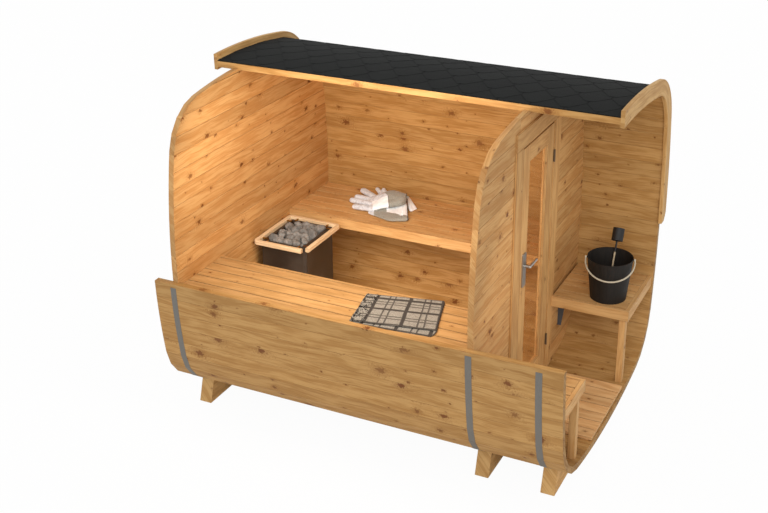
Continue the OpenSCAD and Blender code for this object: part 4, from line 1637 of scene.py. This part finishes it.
@dataclass
class Floor:
    """Floor boards on three battens that follow the bottom staves."""

    node: str
    outline: Outline
    boards: Row = Row(board=0.092, gap=0.005, bevel=2.0 * MM, narrow_mm=3.0)
    thick: float = 0.018
    batten: float = 0.045

    def build(self, recipe: Recipe, wood: Material, seed: int) -> None:
        """Makes the boards and the battens.

        Args:
            recipe: The tree that lays the boards.
            wood: The floor wood.
            seed: Seed of the boards' tones.
        """
        self.boards.build(recipe, self.node, wood, seed, self.thick)
        low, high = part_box(self.node)
        battens = Timber(self.node + "_battens", seed + 1)
        shape = self.outline.ring()
        for axis, at, above in ((1, high.z - self.thick, False), (0, low.y, True),
                                (0, high.y, False)):
            shape = clipped(shape, axis, at, above)
        for x in (low.x + self.batten, (low.x + high.x) / 2, high.x - self.batten):
            battens.prism(shape, x - self.batten / 2, x + self.batten / 2, Grain.Y)
        battens.done(wood, slot="bench_wood")


def clipped(shape: Sequence[Point2], axis: int, at: float, above: bool) -> list[Point2]:
    """Cuts a convex outline by a straight line.

    Args:
        shape: The outline.
        axis: 0 for a cut at a given first value, 1 for one at a given second value.
        at: The cut's place.
        above: Whether the part above the cut is kept.

    Returns:
        What is left of the outline.
    """
    sign = 1.0 if above else -1.0
    left = []
    for a, b in zip(shape, list(shape[1:]) + [shape[0]]):
        da, db = sign * (a[axis] - at), sign * (b[axis] - at)
        if da >= 0:
            left.append(a)
        if (da > 0 > db) or (da < 0 < db):
            k = da / (da - db)
            left.append((a[0] + (b[0] - a[0]) * k, a[1] + (b[1] - a[1]) * k))
    return left


# ---- Heater ----


def stone_recipe() -> Recipe:
    """Broken stones on the base mesh's points, each of its own size, turn and shape.

    Returns:
        The tree, with the inputs Size, Smallest and Seed.
    """
    r = Recipe("stones")
    size, smallest = r.takes("Float", "Size", "Smallest")
    seed, = r.takes("Int", "Seed")
    ball = r.add("GeometryNodeMeshIcoSphere", {"Radius": 0.5, "Subdivisions": 4}).outputs[0]
    bounds = (((0.0, 0.0, 0.0), (6.283, 6.283, 6.283)), ((0.95, 0.78, 0.66), (1.15, 1.0, 0.85)),
              (smallest, 1.0), (0.0, 1.0))
    turn, flat, share, tone = (
        r.chance(low, high, Seed=r.maths("ADD", seed, float(k)) if k else seed)
        for k, (low, high) in enumerate(bounds))
    spots = r.stored(r.base, "tone", tone)
    spots = r.stored(spots, "lot", r.times(r.index(), 7.31))
    scale = r.vector("SCALE", flat, Scale=r.times(share, size))
    heap = r.laid(spots, ball, Rotation=turn, Scale=scale)
    # Each stone is pushed in and out by cells, which gives flat broken faces.
    lot_number = r.recalled("lot")
    place = r.position()
    links = {"Vector": place, "W": lot_number, "Scale": 24.0}
    cells = r.add("ShaderNodeTexVoronoi", links, voronoi_dimensions="4D",
                  feature="F1").outputs["Distance"]
    rough = r.noise(place, 60.0, 3.0, W=lot_number)
    dents, grit = r.times(r.less(0.45, cells), 20 * MM), r.times(r.less(rough, 0.5), 10 * MM)
    normal = r.add("GeometryNodeInputNormal").outputs[0]
    push = r.vector("SCALE", normal, Scale=r.maths("ADD", dents, grit))
    return r.ends(r.moved(heap, Offset=push))


@dataclass
class Heater:
    """Stones in the heater's tray and the wooden guard rail round it."""

    stone: float = 0.092
    smallest: float = 0.72
    across: int = 4
    deep: int = 6
    layers: tuple[Point2, ...] = ((0.026, 0.024), (0.060, 0.018))
    loose: float = 7 * MM
    rail_w: float = 0.028
    rail_under: float = 5 * MM
    corner: float = 0.004
    corner_steps: int = 10
    open_corner: float = 0.041

    def stones(self, finish: Material) -> None:
        """Heaps the stones in the tray, in two layers that are set a little out of line.

        Args:
            finish: The stone.
        """
        low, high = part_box("heater_stones")
        dice = random.Random(12)
        spots = []
        for sunk, edge in self.layers:
            wide, deep = (high.x - low.x - 2 * edge), (high.y - low.y - 2 * edge)
            for i in range(self.across):
                for k in range(self.deep):
                    x = low.x + edge + wide * (i + 0.5 * (k % 2) + 0.2) / (self.across - 0.1)
                    y = low.y + edge + deep * (k + 0.3) / (self.deep - 0.4)
                    spots.append((x + dice.uniform(-7, 7) * MM, y + dice.uniform(-7, 7) * MM,
                                  high.z - sunk + dice.uniform(-8, 3) * MM))
        values = {"Size": self.stone, "Smallest": self.smallest, "Seed": 5, "Finish": finish}
        heap = stone_recipe().mesh("stone_heap", points_mesh("stone_spots", spots), values)
        placed(heap, "stone_heap", "heater_stones", slot="stone")

    def rail(self, wood: Material) -> None:
        """Bends the guard rail, from its end at the right round to its end on the near side.

        Args:
            wood: The rail's wood.
        """
        low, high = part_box("heater_rail")
        half = self.rail_w / 2
        r = self.corner + half
        x0, x1, y0, y1 = low.x + half, high.x - half, low.y + half, high.y - half
        path = [Vector((x1, low.y + self.open_corner, 0))]
        for cx, cy, start in ((x1 - r, y1 - r, 0), (x0 + r, y1 - r, 90), (x0 + r, y0 + r, 180)):
            for k in range(self.corner_steps + 1):
                a = math.radians(start + 90 // self.corner_steps * k)
                path.append(Vector((cx + r * math.cos(a), cy + r * math.sin(a), 0)))
        path.append(Vector((high.x - self.open_corner, y0, 0)))
        frames = [(p, way.cross(UP), UP) for p, way in zip(path, headings(path))]
        rail = Swept("guard_rail", frames, (-half, low.z + self.rail_under), (half, high.z),
                     bevel=3.0 * MM)
        rail.done(wood, "heater_rail", slot="rail_wood", seed=9)


# ---- Towel ----


def smooth(x: float) -> float:
    """Gives a soft step from 0 to 1."""
    x = min(max(x, 0.0), 1.0)
    return x * x * (3 - 2 * x)


def fringe_recipe() -> Recipe:
    """Curled loose threads on the base mesh's points.

    Returns:
        The tree, with the inputs Length, Thread and Seed.
    """
    r = Recipe("fringe")
    length, thread = r.takes("Float", "Length", "Thread")
    seed, = r.takes("Int", "Seed")
    thin, broad = (r.times(length, share) for share in (0.14, 0.3))
    links = {"Resolution": 14, "Rotations": 1.6, "Start Radius": thin, "End Radius": broad,
             "Height": length}
    curl = r.add("GeometryNodeCurveSpiral", links).outputs[0]
    links = {"Resolution": 6, "Radius": thread}
    section = r.add("GeometryNodeCurvePrimitiveCircle", links).outputs[0]
    links = {"Curve": curl, "Profile Curve": section, "Fill Caps": True}
    strand = r.add("GeometryNodeCurveToMesh", links).outputs[0]
    turn = r.chance((1.25, -0.6, 0.9), (1.9, 0.6, 2.2), Seed=seed)
    size = r.chance(0.6, 1.15, Seed=r.maths("ADD", seed, 1.0))
    return r.ends(r.laid(r.base, strand, Rotation=turn, Scale=size))


@dataclass
class Towel:
    """A checked cloth folded once, its fold at the right, lying askew on the near bench.

    The corners are from the cloth box's low corner: near left, near right, far right, far left.
    """

    thick: float = 2.6 * MM
    wave: float = 2.2 * MM
    long: float = 1.0
    wide: float = 0.39
    layer: float = 0.485
    steps_long: int = 150
    steps_wide: int = 56
    under: tuple[Point2, ...] = ((0.050, 0.010), (0.557, 0.060), (0.470, 0.440), (0.004, 0.372))
    over: tuple[Point2, ...] = ((0.048, 0.026), (0.566, 0.128), (0.456, 0.486), (-0.014, 0.376))
    fringe: float = 25 * MM
    thread: float = 1.2 * MM
    ravelled_rows: int = 11

    def centre(self, u: float, v: float, low: Vector) -> Vector:
        """Gives a point of the cloth's middle surface.

        Args:
            u: Share of the length, 0 at the under layer's loose end and 1 at the upper one's.
            v: Share of the width, 0 at the near edge.
            low: Low corner of the space that the cloth lies in.

        Returns:
            The point.
        """
        # The fold takes up what the two layers leave of the length.
        side = min(u, 1 - u) / self.layer
        over = min(max((u - self.layer) / (1 - 2 * self.layer), 0.0), 1.0)
        if 0.0 < over < 1.0:
            side = 1.0
        places = []
        for q in (self.under, self.over):
            near = Vector(q[0]).lerp(Vector(q[1]), side)
            far = Vector(q[3]).lerp(Vector(q[2]), side)
            places.append(near.lerp(far, v))
        flat = places[0].lerp(places[1], smooth(over))
        flat.x += 6 * MM * math.sin(math.pi * over)
        seen = Vector((flat.x * 7.0, flat.y * 7.0, 0.0))
        sway = noise.noise(seen) * 4 * MM
        flat += Vector((sway * (1 - 0.7 * side), sway * 0.6))
        wave = 0.5 + 0.5 * noise.noise(seen * 1.7 + Vector((3.1, 0.7, 0.0)))
        loose = smooth(1.0 - side * 3.2)
        rise = self.thick * 0.62 + over * (self.thick + 3.0 * MM + 1.5 * MM * (1 - loose))
        rise += wave * self.wave * (0.35 + over)
        rise += loose * over * 2.4 * MM * (0.5 + noise.noise(seen * 5.0))
        return Vector((low.x + flat.x, low.y + flat.y, low.z + rise))

    def sheet(self, grid: Sequence[Sequence[Vector]]) -> Mesh:
        """Gives the middle surface its thickness, its UV map and closed edges.

        Args:
            grid: The middle surface's points, row by row.

        Returns:
            The cloth's mesh.
        """
        nu, nv = self.steps_long, self.steps_wide
        verts, faces, uvs = [], [], []
        for side in (1, -1):
            for i in range(nu + 1):
                for k in range(nv + 1):
                    run = grid[min(i + 1, nu)][k] - grid[max(i - 1, 0)][k]
                    cross = grid[i][min(k + 1, nv)] - grid[i][max(k - 1, 0)]
                    normal = run.cross(cross).normalized()
                    verts.append(grid[i][k] - normal * (side * self.thick / 2))
                    uvs.append((i / nu * self.long, k / nv * self.wide))
        step, count = nv + 1, (nu + 1) * (nv + 1)
        for i in range(nu):
            for k in range(nv):
                a = i * step + k
                faces.append((a, a + 1, a + step + 1, a + step))
                faces.append((count + a, count + a + step, count + a + step + 1, count + a + 1))
        edge = [i * step for i in range(nu)] + [nu * step + k for k in range(nv)]
        edge += [i * step + nv for i in range(nu, 0, -1)] + list(range(nv, 0, -1))
        faces += [(a, b, count + b, count + a) for a, b in zip(edge, edge[1:] + edge[:1])]
        mesh = bpy.data.meshes.new("checked_towel")
        mesh.from_pydata(verts, [], faces)
        mesh.polygons.foreach_set("use_smooth", [True] * len(faces))
        layer = mesh.uv_layers.new(name="cloth")
        for loop in mesh.loops:
            layer.data[loop.index].uv = uvs[loop.vertex_index]
        return mesh

    def roots(self, grid: Sequence[Sequence[Vector]]) -> list[Point3]:
        """Gives the places where the fringe's threads start, some past the ravelled upper end.

        Args:
            grid: The middle surface's points, row by row.

        Returns:
            The places.
        """
        dice = random.Random(21)
        found = []
        for row in (0, self.steps_long):
            for k in range(2 * self.steps_wide):
                back = dice.uniform(0, self.ravelled_rows) if row and k % 2 else 0
                p = grid[row - int(back)][k // 2]
                lift = 3.0 if back > 1 else dice.uniform(0.0, 1.0)
                found.append((p.x + dice.uniform(-2, 1) * MM, p.y + dice.uniform(-2, 2) * MM,
                              p.z + lift * MM))
        return found

    def build(self) -> None:
        """Makes the cloth and its fringe."""
        low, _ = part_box("towel")
        nu, nv = self.steps_long, self.steps_wide
        grid = [[self.centre(i / nu, k / nv, low) for k in range(nv + 1)] for i in range(nu + 1)]
        cloth = placed(self.sheet(grid), "checked_towel", "towel", slot="towel_cloth",
                       finish=CheckedCotton(self.long, self.wide).material())
        values = {"Length": self.fringe, "Thread": self.thread, "Seed": 4,
                  "Finish": LooseThread().material()}
        fringe = fringe_recipe().mesh("towel_fringe", points_mesh("fringe_roots", self.roots(grid)),
                                      values)
        tassels = placed(fringe, "towel_fringe", slot="towel_cloth")


# ---- Gloves ----


@dataclass(frozen=True)
class Zones:
    """What covers a glove where, in mm past its cuff's rim and beside the cuff's middle line.

    A white band runs from one place to the next, the canvas starts at a leaning line, and a
    turned-out white corner, if there is one, narrows steeply towards the hand.
    """

    band: Point2 = (900.0, 901.0)
    band_side: float = 0.0
    canvas_from: float = -120.0
    canvas_side: float = 900.0
    lean: float = 0.0
    corner: float = 0.0
    corner_at: float = 0.0
    corner_from: float = 0.0

    def at(self, run: float, across: float) -> dict[str, float]:
        """Tells what covers a point.

        Args:
            run: Distance past the cuff's rim along the cuff, negative towards the hand.
            across: Distance from the cuff's middle line.

        Returns:
            Share of canvas, band, and the dark mark of the bound edge and painted shade, from 0 to
            1.
        """
        def step(x: float) -> float:
            """Sharpens a signed distance to 0..1 over 3 mm."""
            return smooth(0.5 + x / 3.0)

        start, stop = self.band
        beside = step(self.band_side - across)
        band = step(run - start) * step(stop - run) * beside
        canvas = max(step(run - self.canvas_from - self.lean * across), step(run - stop) * beside)
        canvas *= (1 - band) * step(self.canvas_side - across)
        # A painted shadow line, 4 mm wide, where the band ends against the canvas.
        seam = step(run - stop) * step(stop + 4.0 - run) * beside
        if self.corner:
            edge = across - self.corner_at + self.corner * (run + 60.0)
            white = max(step(edge) * step(run - self.corner_from), step(run - 7.0))
            band, canvas = max(band, white), canvas * (1 - white)
        # The dark mark: the bound edge at the cuff's rim, plus the painted shadow line.
        rim = max(seam, step(run + 5.0) * step(4.0 - run))
        return {"canvas": canvas, "band": band, "rim": rim}


Ball = tuple[Point3, Point3]


@dataclass
class Glove:
    """One work glove lying as it was dropped, given by the bones that its fabric goes round.

    Args:
        zones: What lies where on it.
        cuff: Middle of its cuff's rim, in mm from the gloves' low corner.
        way: The way that the cuff points.
        opening: Half the width and height of the cuff's opening, in mm.
        balls: Lumps of hand and cuff by name: each a middle and three radii, in mm.
        bones: Pairs of names, each a run of fabric from one lump to the other.
        pocket: How deep the cuff is open.
        open_to: How far beside the middle line it is open.
    """

    name: str
    zones: Zones
    cuff: Point3
    way: Point3
    opening: Point2
    balls: dict[str, Ball]
    bones: str
    pocket: float = 46 * MM
    open_to: float = 1.0
    voxel: float = 3.5 * MM
    softenings: int = 7

    def skin(self, low: Vector) -> Mesh:
        """Closes the fabric round the bones and draws it smooth.

        Args:
            low: Low corner of the space of the gloves.

        Returns:
            The glove's skin.
        """
        mesh = bpy.data.meshes.new(self.name)
        work, ball = bmesh.new(), bmesh.new()
        bmesh.ops.create_icosphere(ball, subdivisions=2, radius=1.0)
        for pair in self.bones.split():
            part = bmesh.new()
            for at, r in (self.balls[name] for name in pair):
                for v in ball.verts:
                    part.verts.new([low[k] + (at[k] + v.co[k] * r[k]) * MM for k in range(3)])
            bmesh.ops.convex_hull(part, input=part.verts)
            bmesh.ops.delete(part, geom=[v for v in part.verts if not v.link_faces],
                             context="VERTS")
            outward(part)
            part.to_mesh(mesh)
            part.free()
            work.from_mesh(mesh)
        work.to_mesh(mesh)
        work.free()
        ball.free()
        shape = bpy.data.objects.new(self.name + "_shape", mesh)
        bpy.context.scene.collection.objects.link(shape)
        skin = shape.modifiers.new("skin", "REMESH")
        skin.mode, skin.voxel_size = "VOXEL", self.voxel
        soft = shape.modifiers.new("soft", "SMOOTH")
        soft.factor, soft.iterations = 0.5, self.softenings
        return baked(shape, self.name)

    def build(self, finish: Material, *nodes: str) -> None:
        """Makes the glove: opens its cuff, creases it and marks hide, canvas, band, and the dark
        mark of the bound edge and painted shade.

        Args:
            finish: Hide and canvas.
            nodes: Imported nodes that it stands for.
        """
        low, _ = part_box("gloves")
        mesh = self.skin(low)
        end = Vector([low[k] + self.cuff[k] * MM for k in range(3)])
        way = Vector(self.way).normalized()
        side = UP.cross(way).normalized()
        marks: dict[str, list[float]] = {"canvas": [], "band": [], "rim": []}
        wide, high = (a * MM for a in self.opening)
        normals = [v.normal.copy() for v in mesh.vertices]
        for v, normal in zip(mesh.vertices, normals):
            off = v.co - end
            run, across, up = off.dot(way), off.dot(side), off.z
            inside = 1 - smooth((math.hypot(across / wide, up / high) - 0.72) / 0.22)
            inside *= smooth((self.open_to - across) / (8 * MM))
            deep = inside * smooth((run + 10 * MM) / (8 * MM))
            deep *= 1 - smooth((run - 12 * MM) / (6 * MM))
            kinds = self.zones.at(run / MM, across / MM)
            # The inside of the cuff's opening is painted dark as shade.
            kinds["rim"] = max(kinds["rim"], deep)
            for name, value in kinds.items():
                marks[name].append(value)
            v.co -= way * (self.pocket * deep)
            crease = noise.noise(v.co * 38.0) * 1.6 * MM + noise.noise(v.co * 95.0) * 0.7 * MM
            v.co += normal * crease * (1 - deep)
            v.co.z = max(v.co.z, low.z + 0.4 * MM)
        for name, values in marks.items():
            mesh.attributes.new(name, "FLOAT", "POINT").data.foreach_set("value", values)
        mesh.polygons.foreach_set("use_smooth", [True] * len(mesh.polygons))
        mesh.materials.clear()
        glove = placed(mesh, self.name, *nodes, slot="glove_leather", finish=finish)


# Four fingers fanned out towards the heater, a wide cuff at the right.
UPPER_GLOVE = Glove(
    "glove_upper", Zones(band=(-251.0, -138.0), band_side=20.0, canvas_from=-130.0, lean=-0.39),
    cuff=(409, 288, 68), way=(0.87, 0.50, 0.0), opening=(78, 34), balls={
        "a": ((165, 240, 38), (50, 66, 20)), "b": ((255, 190, 44), (54, 74, 23)),
        "c": ((215, 125, 32), (34, 38, 18)), "d": ((280, 292, 66), (64, 88, 42)),
        "e": ((384, 274, 68), (32, 80, 38)), "f": ((132, 300, 38), (29, 29, 21)),
        "g": ((4, 394, 29), (26, 26, 20)), "h": ((146, 240, 36), (29, 29, 21)),
        "i": ((20, 268, 28), (26, 26, 20)), "j": ((176, 176, 34), (29, 29, 21)),
        "k": ((14, 202, 27), (26, 26, 20)), "l": ((208, 112, 30), (29, 29, 20)),
        "m": ((84, 108, 24), (26, 26, 19))},
    bones="ab cb ad bd de be fg hi jk lm")

# Its open cuff at the near right with one corner out, two fingertips behind.
LOWER_GLOVE = Glove(
    "glove_lower", Zones(canvas_from=-240.0, canvas_side=165.0, corner=0.56, corner_at=-56.0,
                         corner_from=-150.0),
    cuff=(461, 188, 17), way=(0.897, 0.446, 0.0), opening=(112, 10), balls={
        "a": ((240, 110, 11), (54, 54, 11)), "b": ((400, 60, 13), (52, 52, 13)),
        "c": ((496, 78, 16), (22, 22, 16)), "d": ((392, 280, 20), (24, 24, 20)),
        "e": ((300, 240, 13), (64, 64, 13)), "f": ((220, 330, 16), (24, 24, 14)),
        "g": ((90, 450, 36), (16, 16, 14)), "h": ((250, 330, 16), (24, 24, 14)),
        "i": ((138, 456, 36), (16, 16, 14)), "j": ((235, 335, 16), (38, 30, 15)),
        "k": ((458, 248, 9), (14, 14, 8)), "l": ((470, 296, 8), (13, 13, 7)),
        "m": ((400, 352, 12), (16, 16, 10)), "n": ((352, 434, 13), (12, 12, 9))},
    bones="ab bc bd cd ae ed eb fg hi ej kl lm km ln mn", pocket=24 * MM, open_to=48 * MM)


# ---- Studio ----


@dataclass
class Studio:
    """Camera, floor, world and lamps."""

    place: Point3 = (3.0248, -6.6084, 4.4104)
    yaw: float = 0.4333
    pitch: float = 0.3721
    roll: float = 0.0026
    lens: float = 57.473
    sensor: float = 36.0
    shift: Point2 = (-0.0393, -0.11)
    floor_half: float = 40.0
    floor_tint: str = "#f4f4f2"
    floor_share: float = 0.96
    key_way: Point3 = (0.30, -0.80, 0.48)
    key: float = 1.2
    key_spread: float = math.radians(40)
    ambient: float = 0.72
    fill: float = 27.0
    low_fill: float = 7.5
    porch_fill: float = 2.6
    fill_tint: str = "#ffeedd"

    def camera(self) -> None:
        """Makes the camera and sets it as the scene's own."""
        cy, sy, cp, sp = (f(a) for a in (self.yaw, self.pitch) for f in (math.cos, math.sin))
        back = Vector((sy * cp, -cy * cp, sp))
        right = (-back).cross(UP).normalized()
        up = right.cross(-back)
        c, s = math.cos(self.roll), math.sin(self.roll)
        right, up = right * c + up * s, up * c - right * s
        data = bpy.data.cameras.new("camera")
        data.lens, data.sensor_width = self.lens, self.sensor
        data.shift_x, data.shift_y = self.shift
        cam = bpy.data.objects.new("camera", data)
        turn = Matrix((right, up, back)).transposed().to_4x4()
        cam.matrix_world = Matrix.Translation(self.place) @ turn
        bpy.context.scene.collection.objects.link(cam)
        bpy.context.scene.camera = cam

    @staticmethod
    def seen(t: Tree, *rays: str) -> Socket:
        """Tells kinds of rays apart.

        Args:
            t: The tree.
            rays: The kinds.

        Returns:
            1 for those kinds and 0 for all others.
        """
        path = t.add("ShaderNodeLightPath").outputs
        total = path[f"Is {rays[0]} Ray"]
        for ray in rays[1:]:
            total = t.maths("MAXIMUM", total, path[f"Is {ray} Ray"])
        return total

    def floor(self) -> None:
        """Lays the pale floor, which looks white straight on and still takes a shadow."""
        a = self.floor_half
        mesh = bpy.data.meshes.new("studio_floor")
        mesh.from_pydata([(-a, -a, 0), (a, -a, 0), (a, a, 0), (-a, a, 0)], [], [(0, 1, 2, 3)])
        mat = bpy.data.materials.new("pale studio floor")
        mat.use_nodes = True
        t = Tree(mat.node_tree)
        plain = t.add("ShaderNodeBsdfDiffuse", {"Color": linear(self.floor_tint)}).outputs[0]
        white = t.add("ShaderNodeEmission", {"Color": WHITE, "Strength": 1.0}).outputs[0]
        part = t.times(self.seen(t, "Camera", "Transmission"), self.floor_share)
        mixed = t.add("ShaderNodeMixShader", {0: part, 1: plain, 2: white}).outputs[0]
        t.add("ShaderNodeOutputMaterial", {"Surface": mixed})
        mesh.materials.append(mat)
        floor = bpy.data.objects.new("studio_floor", mesh)
        bpy.context.scene.collection.objects.link(floor)

    def lamp(self, name: str, data: bpy.types.Light, way: Sequence[float], axis: str) -> Object:
        """Hangs a lamp.

        Args:
            name: Its name.
            data: Its light.
            way: The direction that its axis is laid along.
            axis: That axis.

        Returns:
            The lamp.
        """
        lamp = bpy.data.objects.new(name, data)
        lamp.rotation_euler = Vector(way).to_track_quat(axis, "Y").to_euler()
        bpy.context.scene.collection.objects.link(lamp)
        return lamp

    def panel(self, name: str, power: float, at: Point3, way: Point3, size: Point2) -> None:
        """Hangs a soft light panel that no camera sees.

        Args:
            name: The lamp's name.
            power: Its power in watts.
            at: Its middle.
            way: The way that it shines.
            size: Its width and height.
        """
        data = bpy.data.lights.new(name, "AREA")
        data.shape, data.size, data.size_y = "RECTANGLE", *size
        data.energy, data.color = power, linear(self.fill_tint)[:3]
        lamp = self.lamp(name, data, way, "-Z")
        lamp.location = at
        lamp.visible_camera = lamp.visible_glossy = lamp.visible_transmission = False

    def lights(self) -> None:
        """Sets the soft key lamp, and panels that lift the room's and the porch's corners."""
        sun = bpy.data.lights.new("key", "SUN")
        sun.energy, sun.angle = self.key, self.key_spread
        self.lamp("key", sun, self.key_way, "Z")
        low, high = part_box("room_floor")
        middle, long = (low.x + high.x) / 2, high.x - low.x
        nodes = ("near_bench_frame", "shell_roof", "porch_floor")
        bench, roof, porch = (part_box(node)[1] for node in nodes)
        self.panel("upper_fill", self.fill, (middle + 0.1, low.y - 0.60, roof.z - 0.20),
                   (0.0, 0.80, -0.60), (0.75 * long, 0.8))
        self.panel("lower_fill", self.low_fill, (middle + 0.15, bench.y + 0.03, 0.55),
                   (-0.1, 1.0, -0.1), (0.7 * long, 0.35))
        self.panel("porch_fill", self.porch_fill, (porch.x, -0.80, 1.40), (-0.10, 0.80, -0.60),
                   (0.4, 0.5))

    def world(self) -> None:
        """Sets the even light from all round, before a background that looks white."""
        world = bpy.data.worlds.new("studio")
        bpy.context.scene.world = world
        world.use_nodes = True
        t = Tree(world.node_tree)
        soft, white = (t.add("ShaderNodeBackground", {"Color": WHITE, "Strength": strength})
                       for strength in (self.ambient, 1.0))
        links = {0: self.seen(t, "Camera", "Glossy", "Transmission"), 1: soft.outputs[0],
                 2: white.outputs[0]}
        t.add("ShaderNodeOutputWorld", {"Surface": t.add("ShaderNodeMixShader", links).outputs[0]})

    def build(self) -> None:
        """Makes the whole studio."""
        self.camera()
        self.floor()
        self.lights()
        self.world()
        bpy.context.scene.view_settings.view_transform = "Standard"
        log.info("studio set")


# ---- The sauna ----


def woods() -> dict[str, Material]:
    """Makes each kind of planed wood, by where it is used."""
    made = {
        "staves": PlanedSpruce("planed spruce, staves", "#b88f57", "#a57a43", "#84592a", knots=0.62,
                               knot_most_mm=18.0, seam_dirt_and_shade=0.86),
        "trims": PlanedSpruce("planed spruce, trims and cradles", "#d1a76b", "#bc8f54", "#966836",
                              knots=0.5),
        "walls": PlanedSpruce("planed spruce, wall boards", "#cc9f66", "#bd8a50", "#9d6a35",
                              seam_dirt_and_shade=0.74, knot_most_mm=13.0),
        "joinery": PlanedSpruce("planed spruce, joinery", "#cfa268", "#bd8d55", "#a27544",
                                knots=0.2),
        "floors": PlanedSpruce("planed spruce, floor boards", "#deb37d", "#ce9e68", "#ab7c46",
                               knots=0.4),
        "benches": PlanedSpruce("planed aspen, benches", "#cda26a", "#bf9058", "#a07243", knots=0.3,
                                seam_dirt_and_shade=0.75),
        # The near bench takes a darker copy of the bench aspen: painted shade that offsets the
        # strong fill light falling on it.
        "near bench": PlanedSpruce("planed aspen, near bench, darkened as painted shade", "#ba915d", "#a9814e", "#8b653a",
                                   knots=0.3, seam_dirt_and_shade=0.7),
        "rail": PlanedSpruce("planed aspen, guard rail", "#e6cba4", "#d8b98f", "#bd9a70",
                             knots=0.0),
    }
    return {use: wood.material() for use, wood in made.items()}


def dress_fittings() -> None:
    """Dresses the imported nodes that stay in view: metal, glass, enamel, bucket and ladle."""
    low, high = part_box("bucket")
    axis = ((low.x + high.x) / 2, (low.y + high.y) / 2)
    below_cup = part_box("ladle")[1].z - 0.155
    fittings = (
        (SoftSkin("dark heat-proof enamel", "#30271f", "#51473d"), "heater_case"),
        (BrushedSteel("galvanised steel strip", "#77746f", rough=0.5, metallic=0.35),
         "steel_bands"),
        (BrushedSteel("brushed steel, door fittings", "#c9c7c3"), "door_plates", "door_lever"),
        (BrushedSteel("grey steel, bracket", "#5e646b", rough=0.5, metallic=0.5), "bench_bracket"),
        (BrushedSteel("bronzed steel, hinges", "#6e5a45", rough=0.55, metallic=0.5), "hinge_pins",
         "hinge_leaves"),
        (BrushedSteel("turned brass", "#c9a35c", rough=0.3), "rail_tabs"),
        (ClearGlass(), "door_glass"),
        (StavedBucket(axis), "bucket"),
        (TwoPartLadle(below_cup), "ladle"),
        (SoftSkin("pale bent birch", "#b9ae98", "#a1957d"), "bucket_bail"),
    )
    for finish, *nodes in fittings:
        made = finish.material()
        for name in nodes:
            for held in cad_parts[name].material_slots:
                held.material = made
            log.info("%s: dressed in %s", name, made.name)


def main() -> None:
    """Builds the sauna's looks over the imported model, sub-assembly by sub-assembly."""
    logging.basicConfig(level=logging.INFO, format="%(name)s %(message)s")
    Studio().build()
    outline, wood = Outline(), woods()
    Shell(outline).build(wood["staves"], wood["trims"])
    Roof(outline).build(BitumenShingle().material())
    for k, place in enumerate(("left", "middle", "right")):
        Sawn("cradle_" + place, "stave_wood", 50 + k).build(wood["trims"])
    Walls().build(wood["walls"])
    Doorway().build(wood["joinery"])
    slats = slat_recipe()
    Bench("near_bench", outline, -1).build(slats, wood["near bench"], 60)
    Bench("rear_bench", outline, 1).build(slats, wood["benches"], 64)
    Bench("porch_near", outline, -1, open_end=True).build(slats, wood["benches"], 68)
    Bench("porch_rear", outline, 1, open_end=True).build(slats, wood["benches"], 72)
    Floor("room_floor", outline).build(slats, wood["floors"], 76)
    Floor("porch_floor", outline).build(slats, wood["floors"], 80)
    heater = Heater()
    heater.stones(SaunaStone().material())
    heater.rail(wood["rail"])
    dress_fittings()
    Towel().build()
    fabric = WorkGlove().material()
    UPPER_GLOVE.build(fabric, "gloves")
    LOWER_GLOVE.build(fabric)


if __name__ == "__main__":
    main()
